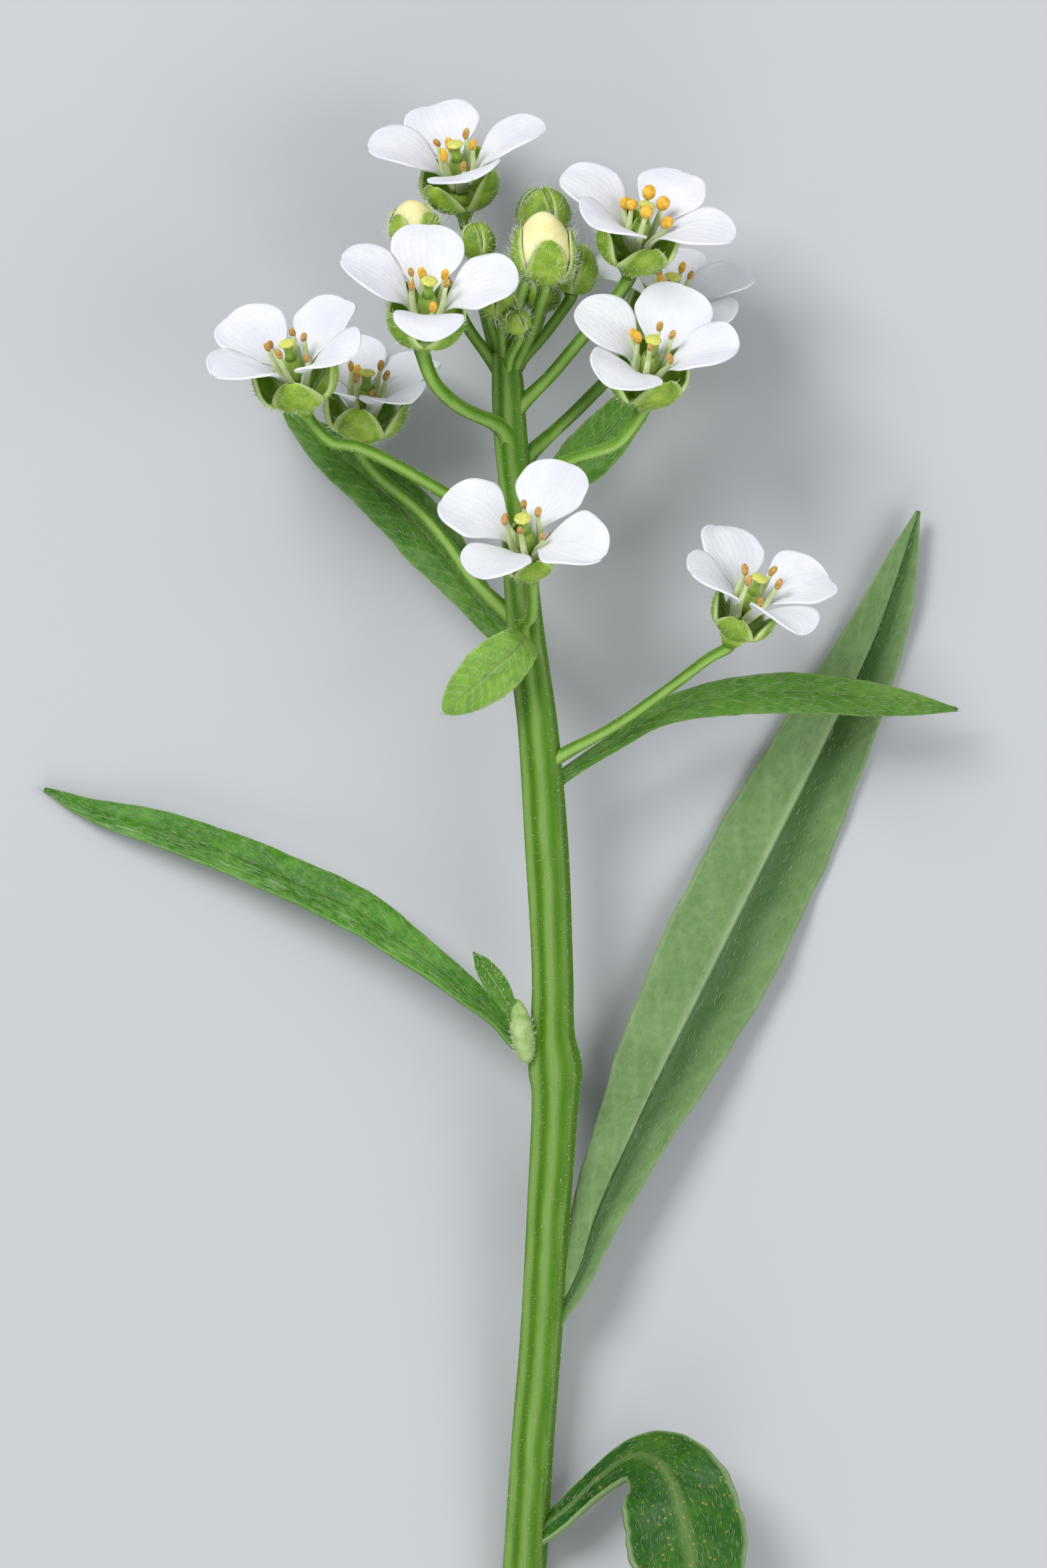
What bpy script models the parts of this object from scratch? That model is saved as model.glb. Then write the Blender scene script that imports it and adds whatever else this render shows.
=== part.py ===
"""A cut sprig of sweet alyssum, lying on a flat surface.

The sprig's length runs along +Y with the flowers at the top, +X is its right-hand side as
seen from above, and the surface is z = 0.  Places and sizes below are in millimetres and are
scaled to metres where a mesh is made.  The origin is under the middle of the sprig.
"""

import math

import bmesh
import bpy
from mathutils import Matrix, Vector

MM = 0.001
# The middle of the sprig in the plan that the places below are measured in.
MIDDLE = (0.0, 2.1, 0.0)

# Blades: every leaf, petal and sepal is one curved sheet of this thickness.
BLADE = 0.6
# Clearance left between the stem and what grows from it.
GAP = 0.3

# Flower sizes, measured from the flower's own origin at the top of its stalk.
CLAW_RADIUS = 0.42
CLAW_HEIGHT = 0.5
BLADE_RADIUS = 0.65
BLADE_HEIGHT = 1.5
PETAL_BEND = (0.85, 1.4)
PETAL_REACH_BACK = 0.55
PETAL_HALF_WIDTH = 1.2
PETAL_CUP = 0.16
# Half widths along a petal, from its foot at 0 to its tip at 1: millimetres up to the end of
# the claw, then shares of the petal's half width.
CLAW_END = 0.3
PETAL_WIDTHS = [(0, 0.24), (CLAW_END, 0.3), (0.5, 0.72), (0.72, 1.0), (0.88, 0.86), (1, 0.42)]
DISC_RADIUS = 0.66
DISC_BOTTOM = 0.45
DISC_TOP = 0.85
SEPAL_REACH = 1.55
SEPAL_TIP_HEIGHT = 0.8
SEPAL_FOOT = -0.35
SEPAL_BEND = (1.25, 0.1)
SEPAL_HALF_WIDTH = 0.55
SEPAL_CUP = 0.2
SEPAL_WIDTHS = [(0, 0.5), (0.35, 0.95), (0.7, 0.9), (1, 0.35)]
# Each sepal's foot lies this much above the last one's, so that no two share a surface.
SEPAL_STEP = 0.025
RECEPTACLE_RADIUS = 0.45
RECEPTACLE_FOOT_RADIUS = 0.3
RECEPTACLE_TOP = -0.05
RECEPTACLE_BOTTOM = -0.6
STALK_START = RECEPTACLE_BOTTOM - GAP
OVARY_BASE = 1.15
OVARY_MIDDLE = 1.55
OVARY_RADIUS = 0.42
STIGMA_HEIGHT = 2.3
STIGMA_DEPTH = 0.3
STIGMA_RADIUS = 0.34
STYLE_RADIUS = 0.2
STYLE_TOP_RADIUS = 0.16
# Six stamens stand round the ovary, the first one turned away from the first petal.
STAMENS = 6
STAMEN_TURN = 33
STAMEN_REACH = 0.7
STAMEN_HEIGHT = 2.1
FILAMENT_RADIUS = 0.13
ANTHER_RADIUS = 0.17
ANTHER_HALF_LENGTH = 0.3
STALK_RADIUS = 0.24
BUD_STALK_RADIUS = 0.22

# The main stem, from the cut end to the head: x, y, height of the axis, radius.
STEM = [
    (0.8, -24.9, 0.78, 0.83), (1.2, -18.6, 1.6, 0.80), (1.5, -14.8, 2.1, 0.79),
    (1.8, -9.7, 2.7, 0.82), (2.0, -6.3, 3.1, 0.88), (2.0, -5.1, 3.3, 1.01),
    (1.9, -3.8, 3.5, 0.83), (1.9, -1.4, 3.8, 0.77), (1.7, 2.8, 4.3, 0.81),
    (1.4, 6.9, 4.8, 0.75), (1.1, 9.3, 5.1, 0.71), (0.8, 12.1, 5.5, 0.65),
    (0.6, 15.5, 6.0, 0.62), (0.4, 17.6, 6.2, 0.62), (0.3, 19.5, 6.5, 0.58),
    (0.2, 20.5, 6.6, 0.40),
]
STEM_RIDGES = 7
STEM_RIDGE_DEPTH = 0.06
STEM_RINGS = 25

# Each open flower: its base, the way it leans in plan and tips from upright, in degrees,
# its petals as (direction, lift, length), and its stalk's way down to the stem.
FLOWERS = {
    "flower_1": dict(
        base=(-1.3, 26.1, 4.8), lean=-8, tilt=57,
        petals=[(6, 18, 2.75), (103, 20, 2.6), (179, 28, 2.65), (276, 21, 2.55)],
        stalk=[(-0.8, 23.6, 4.5), (-0.4, 21.7, 5.1), (0.1, 19.7, 6.1)]),
    "flower_2": dict(
        base=(4.8, 23.8, 7.2), lean=14, tilt=57,
        petals=[(65, 19, 2.55), (163, 17, 2.7), (238, 23, 2.6), (347, 18, 2.8)],
        stalk=[(3.9, 22.0, 6.5), (3.0, 21.0, 6.4), (1.9, 19.7, 6.4), (0.5, 18.2, 6.4)]),
    "flower_3": dict(
        base=(5.8, 21.5, 2.7), lean=14, tilt=60,
        petals=[(25, 23, 2.5), (95, 12, 2.45), (202, 20, 2.55), (307, 13, 2.6)],
        stalk=[(4.2, 19.9, 2.9), (2.7, 18.4, 4.3), (0.8, 16.5, 5.9)]),
    "flower_4": dict(
        base=(5.2, 19.1, 8.0), lean=9, tilt=51,
        petals=[(73, 25, 2.65), (159, 23, 2.5), (244, 14, 2.6), (353, 29, 2.65)],
        stalk=[(4.2, 17.2, 7.2), (2.4, 16.6, 6.7), (0.8, 15.5, 6.1)]),
    "flower_5": dict(
        base=(-2.6, 21.1, 9.0), lean=6, tilt=51,
        petals=[(9, 23, 2.65), (98, 23, 2.6), (175, 26, 2.75), (274, 15, 2.55)],
        stalk=[(-2.3, 18.8, 8.1), (-1.3, 18.0, 7.4), (0.2, 17.4, 6.6)]),
    "flower_6": dict(
        base=(-7.0, 18.9, 7.4), lean=-15, tilt=58,
        petals=[(37, 19, 2.5), (127, 24, 2.6), (206, 24, 2.65), (314, 21, 2.6)],
        stalk=[(-6.0, 17.3, 6.9), (-5.0, 17.1, 6.6), (-3.7, 16.5, 6.3), (-1.6, 15.3, 6.1),
               (0.4, 14.2, 6.0)]),
    "flower_7": dict(
        base=(-4.9, 17.9, 2.9), lean=5, tilt=65,
        petals=[(35, 22, 2.3), (112, 24, 2.4), (220, 26, 2.4), (306, 20, 2.5)],
        stalk=[(-4.2, 16.1, 2.7), (-2.9, 15.0, 3.5), (-1.8, 13.7, 4.2), (-0.8, 12.3, 4.9),
               (0.6, 10.9, 5.3)]),
    "flower_8": dict(
        base=(1.1, 12.9, 8.8), lean=-9, tilt=46,
        petals=[(52, 19, 2.55), (149, 18, 2.6), (233, 16, 2.6), (321, 10, 2.65)],
        stalk=[(1.2, 11.2, 7.1), (0.9, 10.7, 5.9)]),
    "flower_9": dict(
        base=(8.5, 10.7, 6.4), lean=24, tilt=59,
        petals=[(41, 20, 2.55), (131, 19, 2.55), (218, 25, 2.55), (313, 19, 2.55)],
        stalk=[(7.6, 9.1, 5.8), (6.0, 8.4, 5.5), (4.1, 7.2, 5.2), (1.8, 5.8, 4.8)]),
}

# Each bud: its base, lean and tilt in degrees, length, radius, and its stalk's way down.
BUDS = {
    "bud_1": dict(
        base=(-2.9, 24.4, 6.0), lean=-10, tilt=70, length=1.6, radius=0.8, opening=True,
        stalk=[(-2.0, 23.2, 5.9), (-1.1, 21.4, 6.2), (0.1, 19.7, 6.4)]),
    "bud_2": dict(
        base=(1.6, 22.9, 7.6), lean=0, tilt=70, length=2.6, radius=1.0, opening=True,
        stalk=[(1.2, 21.3, 6.9), (0.7, 20.2, 6.7), (0.3, 19.3, 6.5)]),
    "bud_3": dict(
        base=(1.6, 24.8, 5.4), lean=0, tilt=70, length=1.6, radius=0.85, opening=False,
        stalk=[(1.2, 23.6, 5.2), (0.7, 22.1, 5.5), (0.4, 20.0, 6.1)]),
    "bud_4": dict(
        base=(2.6, 22.7, 5.6), lean=12, tilt=70, length=1.7, radius=0.68, opening=False,
        stalk=[(1.7, 21.2, 5.8), (0.5, 19.7, 6.3)]),
    "bud_5": dict(
        base=(-0.7, 23.9, 6.2), lean=-5, tilt=70, length=1.2, radius=0.52, opening=False,
        stalk=[(-0.4, 21.9, 6.2), (0.2, 19.7, 6.4)]),
    "bud_6": dict(
        base=(1.5, 22.1, 4.6), lean=5, tilt=70, length=1.2, radius=0.58, opening=False,
        stalk=[(1.0, 20.5, 5.2), (0.4, 19.2, 6.2)]),
    "bud_7": dict(
        base=(0.1, 21.7, 7.6), lean=-5, tilt=60, length=1.1, radius=0.5, opening=False,
        stalk=[(0.2, 20.4, 6.9), (0.3, 19.3, 6.5)]),
    "bud_8": dict(
        base=(0.7, 21.2, 8.2), lean=-10, tilt=50, length=0.8, radius=0.38, opening=False,
        stalk=[(0.4, 20.2, 7.1), (0.3, 19.2, 6.6)]),
}
# An opening bud's petals start at this share of its length, clear of its green cup.
CAP_START = 0.42
CAP_GAP = 0.3
BUD_LOBES = 0.07
# Buds and anthers are eggs, this much narrower towards the tip.
EGG_TAPER = 0.18

# Each leaf: the points of its midrib from the stem to the tip, half its greatest width, where
# along it that is, the rise of its edges beside the midrib, and its turn about the midrib at
# the base and at the tip, in degrees.
LEAVES = {
    "leaf_1": dict(
        midrib=[(0.7, -4.2, 3.3), (-0.1, -3.3, 3.2), (-1.8, -1.9, 2.9), (-3.7, -0.5, 2.5),
                (-5.0, 0.4, 2.2), (-7.1, 1.4, 1.8), (-9.4, 2.4, 1.3), (-12.5, 3.5, 0.9),
                (-14.7, 4.1, 0.45), (-16.5, 4.9, 0.27)],
        half_width=1.0, widest=0.62, fold=0.25, turn=(35, 12), stations=12),
    "leaf_2": dict(
        midrib=[(3.05, -12.6, 2.3), (3.6, -10.2, 2.1), (5.3, -6.4, 1.5), (7.3, -2.4, 0.8),
                (9.0, 1.0, 0.3), (10.6, 4.2, 0.14), (12.2, 7.4, 0.17), (13.8, 10.8, 0.4),
                (15.2, 15.0, 0.9)],
        half_width=2.35, widest=0.62, fold=0.12, turn=(0, 0), stations=14),
    "leaf_3": dict(
        midrib=[(2.7, 5.7, 4.3), (4.4, 6.8, 4.4), (6.1, 7.8, 4.4), (8.5, 8.3, 4.2),
                (11.1, 8.4, 3.9), (14.1, 8.1, 3.3), (16.5, 7.8, 2.6)],
        half_width=0.75, widest=0.6, fold=0.25, turn=(20, 10), stations=11),
    "leaf_4": dict(
        midrib=[(0.7, 10.0, 6.5), (-0.3, 9.1, 6.8), (-1.1, 8.4, 6.9), (-1.9, 7.7, 6.5)],
        half_width=0.95, widest=0.55, fold=0.15, turn=(0, 0), stations=7),
    "leaf_5": dict(
        midrib=[(0.35, 10.2, 4.15), (-0.5, 11.3, 3.7), (-2.1, 13.4, 2.8), (-3.7, 15.2, 2.0),
                (-5.6, 16.8, 1.0), (-7.2, 18.1, 0.4), (-7.8, 18.6, 0.28)],
        half_width=1.05, widest=0.5, fold=0.2, turn=(0, 0), stations=9),
    "leaf_6": dict(
        midrib=[(1.6, 15.5, 5.0), (3.1, 16.8, 5.0), (4.3, 18.1, 4.8), (5.7, 19.8, 4.3)],
        half_width=0.9, widest=0.5, fold=0.2, turn=(0, 0), stations=7),
    "leaf_7": dict(
        midrib=[(2.3, -21.3, 1.6), (3.7, -20.0, 1.5), (5.0, -19.2, 2.1), (6.0, -19.6, 3.4),
                (6.6, -21.2, 4.3), (6.9, -23.1, 4.4), (7.0, -25.2, 3.9)],
        half_width=2.1, widest=0.62, fold=0.12, turn=(145, 80), stations=14),
}
LEAF_BASE_HALF_WIDTH = 0.32
# Shares of a leaf's half width along it, before and after its widest place.
LEAF_RISING_WIDTHS = [(0.12, 0.4), (0.35, 0.78)]
LEAF_FALLING_WIDTHS = [(0.85, 0.68), (0.95, 0.36), (1, 0.16)]

# The little shoot in leaf 1's axil: a bud with one small leaf.
SHOOT_BUD = ((0.6, -3.9, 4.45), (0.7, -2.8, 4.55))
SHOOT_BUD_RADIUS = 0.45
SHOOT_LEAF = [(0.6, -3.3, 4.5), (0.0, -2.2, 4.8), (-0.9, -0.9, 4.8)]
SHOOT_LEAF_HALF_WIDTH = 0.42

# Edges that turn by more than this stay sharp, in degrees.
SHARP_EDGE = 50

# Colour and roughness of each kind of piece.
FINISHES = {
    "stem_green": ((0.22, 0.30, 0.10, 1.0), 0.55),
    "leaf_green": ((0.16, 0.27, 0.08, 1.0), 0.5),
    "sepal_green": ((0.30, 0.38, 0.12, 1.0), 0.55),
    "petal_white": ((0.86, 0.86, 0.90, 1.0), 0.6),
    "centre_orange": ((0.62, 0.40, 0.10, 1.0), 0.6),
    "bud_cream": ((0.85, 0.84, 0.58, 1.0), 0.55),
}


def clear_scene():
    """Remove whatever the scene holds."""
    for thing in list(bpy.data.objects):
        bpy.data.objects.remove(thing, do_unlink=True)


def new_collection(name):
    """A collection linked to the scene."""
    collection = bpy.data.collections.new(name)
    bpy.context.scene.collection.children.link(collection)
    return collection


def finish(name):
    """The named material, made the first time it is asked for."""
    material = bpy.data.materials.get(name)
    if material is None:
        colour, roughness = FINISHES[name]
        material = bpy.data.materials.new(name)
        material.use_nodes = True
        shader = material.node_tree.nodes["Principled BSDF"]
        shader.inputs["Base Color"].default_value = colour
        shader.inputs["Roughness"].default_value = roughness
        shader.inputs["Metallic"].default_value = 0.0
        material.diffuse_color = colour
    return material


def sprig_empty(parts):
    """The empty that carries every piece and puts the sprig's middle over the origin."""
    sprig = bpy.data.objects.get("sprig")
    if sprig is None:
        sprig = bpy.data.objects.new("sprig", None)
        sprig.location = -Vector(MIDDLE) * MM
        parts.objects.link(sprig)
    return sprig


def carrier_empty(name, spec, parts):
    """An empty at the base of a flower or bud, its z axis along the way that it faces."""
    carrier = bpy.data.objects.new(name, None)
    parts.objects.link(carrier)
    carrier.parent = sprig_empty(parts)
    carrier.location = Vector(spec["base"]) * MM
    carrier.rotation_euler = facing(spec["lean"], spec["tilt"])[1].to_euler()
    return carrier


def add_object(name, mesh, material, collection, parent=None):
    """An object for a mesh, smooth with its real edges kept sharp."""
    thing = bpy.data.objects.new(name, mesh)
    collection.objects.link(thing)
    mesh.materials.clear()
    mesh.materials.append(finish(material))
    mesh.shade_smooth()
    mesh.set_sharp_from_angle(angle=math.radians(SHARP_EDGE))
    thing.parent = parent or sprig_empty(collection)
    return thing


def evaluated_mesh(thing):
    """A copy of an object's mesh with its modifiers applied."""
    bpy.context.view_layer.update()
    graph = bpy.context.evaluated_depsgraph_get()
    return bpy.data.meshes.new_from_object(thing.evaluated_get(graph), depsgraph=graph)


def fuse(name, meshes, material, collection, parent=None):
    """One solid from several closed meshes, by one Boolean union on a collection."""
    pieces = new_collection(name + "_pieces")
    base = bpy.data.objects.new(name + "_base", meshes[0])
    bpy.context.scene.collection.objects.link(base)
    for index, mesh in enumerate(meshes[1:]):
        piece = bpy.data.objects.new(f"{name}_piece_{index}", mesh)
        pieces.objects.link(piece)
    union = base.modifiers.new("fuse", "BOOLEAN")
    union.operation = "UNION"
    union.operand_type = "COLLECTION"
    union.collection = pieces
    union.solver = "EXACT"
    mesh = evaluated_mesh(base)
    for piece in list(pieces.objects) + [base]:
        bpy.data.objects.remove(piece, do_unlink=True)
    bpy.data.collections.remove(pieces)
    return add_object(name, mesh, material, collection, parent)


def smooth_points(points, count):
    """Even points along a smooth curve that passes through the given ones."""
    knots = [Vector(p) for p in points]
    knots = [2 * knots[0] - knots[1]] + knots + [2 * knots[-1] - knots[-2]]
    dense = []
    for a, b, c, d in zip(knots, knots[1:], knots[2:], knots[3:]):
        for step in range(12):
            t = step / 12
            dense.append(0.5 * (2 * b + (c - a) * t + (2 * a - 5 * b + 4 * c - d) * t ** 2
                                + (3 * b - a - 3 * c + d) * t ** 3))
    dense.append(knots[-2].copy())
    lengths = [0.0]
    for a, b in zip(dense, dense[1:]):
        lengths.append(lengths[-1] + (b.to_3d() - a.to_3d()).length)
    result = []
    place = 0
    for index in range(count):
        wanted = lengths[-1] * index / (count - 1)
        while place < len(dense) - 2 and lengths[place + 1] < wanted:
            place += 1
        span = lengths[place + 1] - lengths[place]
        result.append(dense[place].lerp(dense[place + 1], (wanted - lengths[place]) / span))
    return result


def tube_mesh(name, points, radii, sides=6, profile=None):
    """A closed tube along points given in millimetres, as a mesh in metres."""
    curve = bpy.data.curves.new(name, "CURVE")
    curve.dimensions = "3D"
    curve.use_fill_caps = True
    curve.resolution_u = 1
    if profile is None:
        curve.bevel_depth = MM
        curve.bevel_resolution = (sides - 4) // 2
    else:
        curve.bevel_mode = "OBJECT"
        curve.bevel_object = profile
    spline = curve.splines.new("POLY")
    spline.points.add(len(points) - 1)
    for point, place, radius in zip(spline.points, points, radii):
        point.co = (*(place * MM), 1.0)
        point.radius = radius
    thing = bpy.data.objects.new(name, curve)
    bpy.context.scene.collection.objects.link(thing)
    mesh = evaluated_mesh(thing)
    bpy.data.objects.remove(thing, do_unlink=True)
    weld(mesh)
    return mesh


def weld(mesh):
    """Join a tube's loose caps to its wall and point every face out."""
    bm = bmesh.new()
    bm.from_mesh(mesh)
    bmesh.ops.remove_doubles(bm, verts=bm.verts, dist=0.002 * MM)
    bmesh.ops.recalc_face_normals(bm, faces=bm.faces)
    bm.to_mesh(mesh)
    bm.free()


def width_at(t, keys):
    """The value at t along a list of (place, value) pairs."""
    for (t0, w0), (t1, w1) in zip(keys, keys[1:]):
        if t <= t1:
            return w0 + (w1 - w0) * (t - t0) / (t1 - t0)
    return keys[-1][1]


def sheet_mesh(name, place, along, across):
    """A thick curved sheet: a grid laid out by place(t, u), given thickness by Solidify."""
    bm = bmesh.new()
    bmesh.ops.create_grid(bm, x_segments=across, y_segments=along, size=1.0)
    for vert in bm.verts:
        u, t = vert.co.x, (vert.co.y + 1) / 2
        vert.co = place(t, u) * MM
    bmesh.ops.triangulate(bm, faces=bm.faces)
    mesh = bpy.data.meshes.new(name)
    bm.to_mesh(mesh)
    bm.free()
    thing = bpy.data.objects.new(name, mesh)
    bpy.context.scene.collection.objects.link(thing)
    solidify = thing.modifiers.new("thickness", "SOLIDIFY")
    solidify.thickness = BLADE * MM
    solidify.offset = 0.0
    solid = evaluated_mesh(thing)
    bpy.data.objects.remove(thing, do_unlink=True)
    bm = bmesh.new()
    bm.from_mesh(solid)
    bmesh.ops.recalc_face_normals(bm, faces=bm.faces)
    bm.to_mesh(solid)
    bm.free()
    return solid


def round_mesh(name, centre, radius, half_length, axis, segments=8, rings=6, lobes=0.0):
    """An egg shape about a centre, its length along an axis, with four shallow lobes."""
    bm = bmesh.new()
    bmesh.ops.create_uvsphere(bm, u_segments=segments, v_segments=rings, radius=1.0)
    turn = Vector((0, 0, 1)).rotation_difference(axis).to_matrix()
    for vert in bm.verts:
        angle = math.atan2(vert.co.y, vert.co.x)
        swell = 1 + lobes * math.cos(4 * angle)
        egg = 1 - EGG_TAPER * vert.co.z
        local = Vector((vert.co.x * radius * swell * egg, vert.co.y * radius * swell * egg,
                        vert.co.z * half_length))
        vert.co = (centre + turn @ local) * MM
    mesh = bpy.data.meshes.new(name)
    bm.to_mesh(mesh)
    bm.free()
    return mesh


def drum_mesh(name, bottom, top, low_radius, high_radius, sides=12):
    """A short cone or drum on the z axis."""
    bm = bmesh.new()
    bmesh.ops.create_cone(bm, cap_ends=True, segments=sides, radius1=low_radius * MM,
                          radius2=high_radius * MM, depth=(top - bottom) * MM)
    bmesh.ops.translate(bm, verts=bm.verts, vec=(0, 0, (top + bottom) / 2 * MM))
    mesh = bpy.data.meshes.new(name)
    bm.to_mesh(mesh)
    bm.free()
    return mesh


def facing(lean, tilt):
    """The direction of a flower that leans in plan and tips from upright, and its matrix."""
    lean, tilt = math.radians(lean), math.radians(tilt)
    up = Vector((math.sin(tilt) * math.sin(lean), math.sin(tilt) * math.cos(lean),
                 math.cos(tilt)))
    side = Vector((math.cos(lean), -math.sin(lean), 0))
    return up, Matrix((side, up.cross(side), up)).transposed()


def bezier(t, a, b, c, d):
    """A point of a cubic curve in the plane."""
    s = 1 - t
    return a * s ** 3 + 3 * b * t * s ** 2 + 3 * c * t ** 2 * s + d * t ** 3


def radial_sheet(name, angle, profile, half_width, cup, along, across):
    """A petal or sepal: a sheet whose midline is profile(t) in the plane at an angle."""
    turn = Matrix.Rotation(math.radians(angle), 3, "Z")

    def place(t, u):
        radius, height = profile(t)
        near = profile(max(t - 0.02, 0))
        far = profile(min(t + 0.02, 1))
        slope = (far - near).normalized()
        lift = cup * u * u * half_width(t)
        local = Vector((radius - slope.y * lift, u * half_width(t), height + slope.x * lift))
        return turn @ local

    return sheet_mesh(name, place, along, across)


def petal_mesh(name, direction, lift, length):
    """One petal: a narrow claw that rises from the disc and a broad round blade."""
    rise = math.radians(lift)
    out = Vector((math.cos(rise), math.sin(rise)))
    tip = Vector((BLADE_RADIUS, BLADE_HEIGHT)) + out * length
    claw = Vector((CLAW_RADIUS, CLAW_HEIGHT))

    def profile(t):
        return bezier(t, claw, Vector(PETAL_BEND), tip - out * length * PETAL_REACH_BACK, tip)

    def half_width(t):
        return width_at(t, PETAL_WIDTHS) * (PETAL_HALF_WIDTH if t > CLAW_END else 1.0)

    return radial_sheet(name, direction, profile, half_width, PETAL_CUP, 5, 3)


def sepal_mesh(name, direction, step):
    """One sepal: a short boat-shaped sheet that cups the flower, a step above the last."""
    foot = SEPAL_FOOT + step * SEPAL_STEP

    def profile(t):
        return bezier(t, Vector((0.1, foot)), Vector((0.8, foot)),
                      Vector(SEPAL_BEND), Vector((SEPAL_REACH, SEPAL_TIP_HEIGHT)))

    def half_width(t):
        return width_at(t, SEPAL_WIDTHS) * SEPAL_HALF_WIDTH

    return radial_sheet(name, direction, profile, half_width, SEPAL_CUP, 3, 3)


def build_flower(name, spec, parts):
    """The three solids of one flower, carried by an empty at its base."""
    carrier = carrier_empty(name, spec, parts)
    directions = [petal[0] for petal in spec["petals"]]
    petals = [drum_mesh("disc", DISC_BOTTOM, DISC_TOP, DISC_RADIUS, DISC_RADIUS)]
    for direction, lift, length in spec["petals"]:
        petals.append(petal_mesh("petal", direction, lift, length))
    fuse(name + "_petals", petals, "petal_white", parts, carrier)

    calyx = [drum_mesh("receptacle", RECEPTACLE_BOTTOM, RECEPTACLE_TOP,
                       RECEPTACLE_FOOT_RADIUS, RECEPTACLE_RADIUS, 8)]
    for step, direction in enumerate(directions):
        following = directions[step + 1] if step < 3 else directions[0] + 360
        calyx.append(sepal_mesh("sepal", (direction + following) / 2, step))
    fuse(name + "_calyx", calyx, "sepal_green", parts, carrier)

    straight = Vector((0, 0, 1))
    middle = Vector((0, 0, OVARY_MIDDLE))
    centre = [round_mesh("ovary", middle, OVARY_RADIUS, OVARY_MIDDLE - OVARY_BASE,
                         straight, 8, 4)]
    centre.append(drum_mesh("style", OVARY_MIDDLE, STIGMA_HEIGHT - 0.1, STYLE_RADIUS,
                            STYLE_TOP_RADIUS, 6))
    centre.append(drum_mesh("stigma", STIGMA_HEIGHT - STIGMA_DEPTH, STIGMA_HEIGHT,
                            STYLE_RADIUS, STIGMA_RADIUS, 8))
    for index in range(STAMENS):
        angle = math.radians(directions[0] + 360 / STAMENS * index + STAMEN_TURN)
        out = Vector((math.cos(angle), math.sin(angle), 0))
        foot = out * OVARY_RADIUS * 0.72 + Vector((0, 0, OVARY_MIDDLE + 0.06))
        head = out * STAMEN_REACH + Vector((0, 0, STAMEN_HEIGHT))
        centre.append(tube_mesh("filament", [foot, head], [FILAMENT_RADIUS] * 2, 4))
        centre.append(round_mesh("anther", head, ANTHER_RADIUS, ANTHER_HALF_LENGTH, straight,
                                 5, 3))
    fuse(name + "_centre", centre, "centre_orange", parts, carrier)


def build_bud(name, spec, parts):
    """A closed bud, or an opening one whose cream petals stand out of its green cup."""
    carrier = carrier_empty(name + "_place", spec, parts)
    half = spec["length"] / 2
    axis = Vector((0, 0, 1))
    body = round_mesh(name, Vector((0, 0, half)), spec["radius"], half, axis, 12, 6, BUD_LOBES)
    if not spec["opening"]:
        add_object(name, body, "sepal_green", parts, carrier)
        return
    split = spec["length"] * CAP_START
    cap = body.copy()
    keep_side(body, split - CAP_GAP / 2, upper=False)
    keep_side(cap, split + CAP_GAP / 2, upper=True)
    add_object(name, body, "sepal_green", parts, carrier)
    add_object(name + "_petals", cap, "bud_cream", parts, carrier)


def keep_side(mesh, height, upper):
    """Cut a closed mesh with a level plane and keep one side of it, closed again."""
    bm = bmesh.new()
    bm.from_mesh(mesh)
    geometry = bm.verts[:] + bm.edges[:] + bm.faces[:]
    cut = bmesh.ops.bisect_plane(bm, geom=geometry, plane_co=(0, 0, height * MM),
                                 plane_no=(0, 0, -1 if upper else 1), clear_outer=True)
    rim = [edge for edge in cut["geom_cut"] if isinstance(edge, bmesh.types.BMEdge)]
    bmesh.ops.contextual_create(bm, geom=rim)
    bmesh.ops.recalc_face_normals(bm, faces=bm.faces)
    bm.to_mesh(mesh)
    bm.free()


def carried_sides(line):
    """The forward direction at each point of a line, and a level side carried along it."""
    forwards, sides = [], []
    side = (line[1] - line[0]).cross(Vector((0, 0, 1)))
    for index in range(len(line)):
        ahead = line[min(index + 1, len(line) - 1)] - line[max(index - 1, 0)]
        forwards.append(ahead.normalized())
        side = (side - side.project(forwards[-1])).normalized()
        sides.append(side)
    return forwards, sides


def leaf_mesh(name, midrib, half_width, widest, fold, turn, stations):
    """A leaf blade along its midrib, folded up on both sides of it."""
    line = smooth_points(midrib, stations)
    forwards, sides = carried_sides(line)
    keys = [(0, LEAF_BASE_HALF_WIDTH / half_width)] + LEAF_RISING_WIDTHS
    keys += [(widest, 1.0)] + LEAF_FALLING_WIDTHS

    def place(t, u):
        index = round(t * (stations - 1))
        angle = math.radians(turn[0] + (turn[1] - turn[0]) * t)
        side = Matrix.Rotation(angle, 3, forwards[index]) @ sides[index]
        above = side.cross(forwards[index])
        width = half_width * width_at(t, keys)
        return line[index] + side * u * width + above * fold * abs(u) * width

    return sheet_mesh(name, place, stations - 1, 4)


def press_flat(mesh):
    """Flatten what would lie under the surface, where a leaf or stem rests on it."""
    for vert in mesh.vertices:
        vert.co.z = max(vert.co.z, 0.0)


def build_leaves(parts):
    """Every leaf, and the little shoot in the axil of the first."""
    for name, spec in LEAVES.items():
        mesh = leaf_mesh(name, **spec)
        press_flat(mesh)
        add_object(name, mesh, "leaf_green", parts)
    low, high = (Vector(point) for point in SHOOT_BUD)
    bud = round_mesh("shoot_bud", (low + high) / 2, SHOOT_BUD_RADIUS,
                     (high - low).length / 2 + 0.15, (high - low).normalized())
    blade = leaf_mesh("shoot_leaf", SHOOT_LEAF, SHOOT_LEAF_HALF_WIDTH, 0.5, 0.15, (0, 0), 5)
    fuse("axil_shoot", [bud, blade], "leaf_green", parts)


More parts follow.
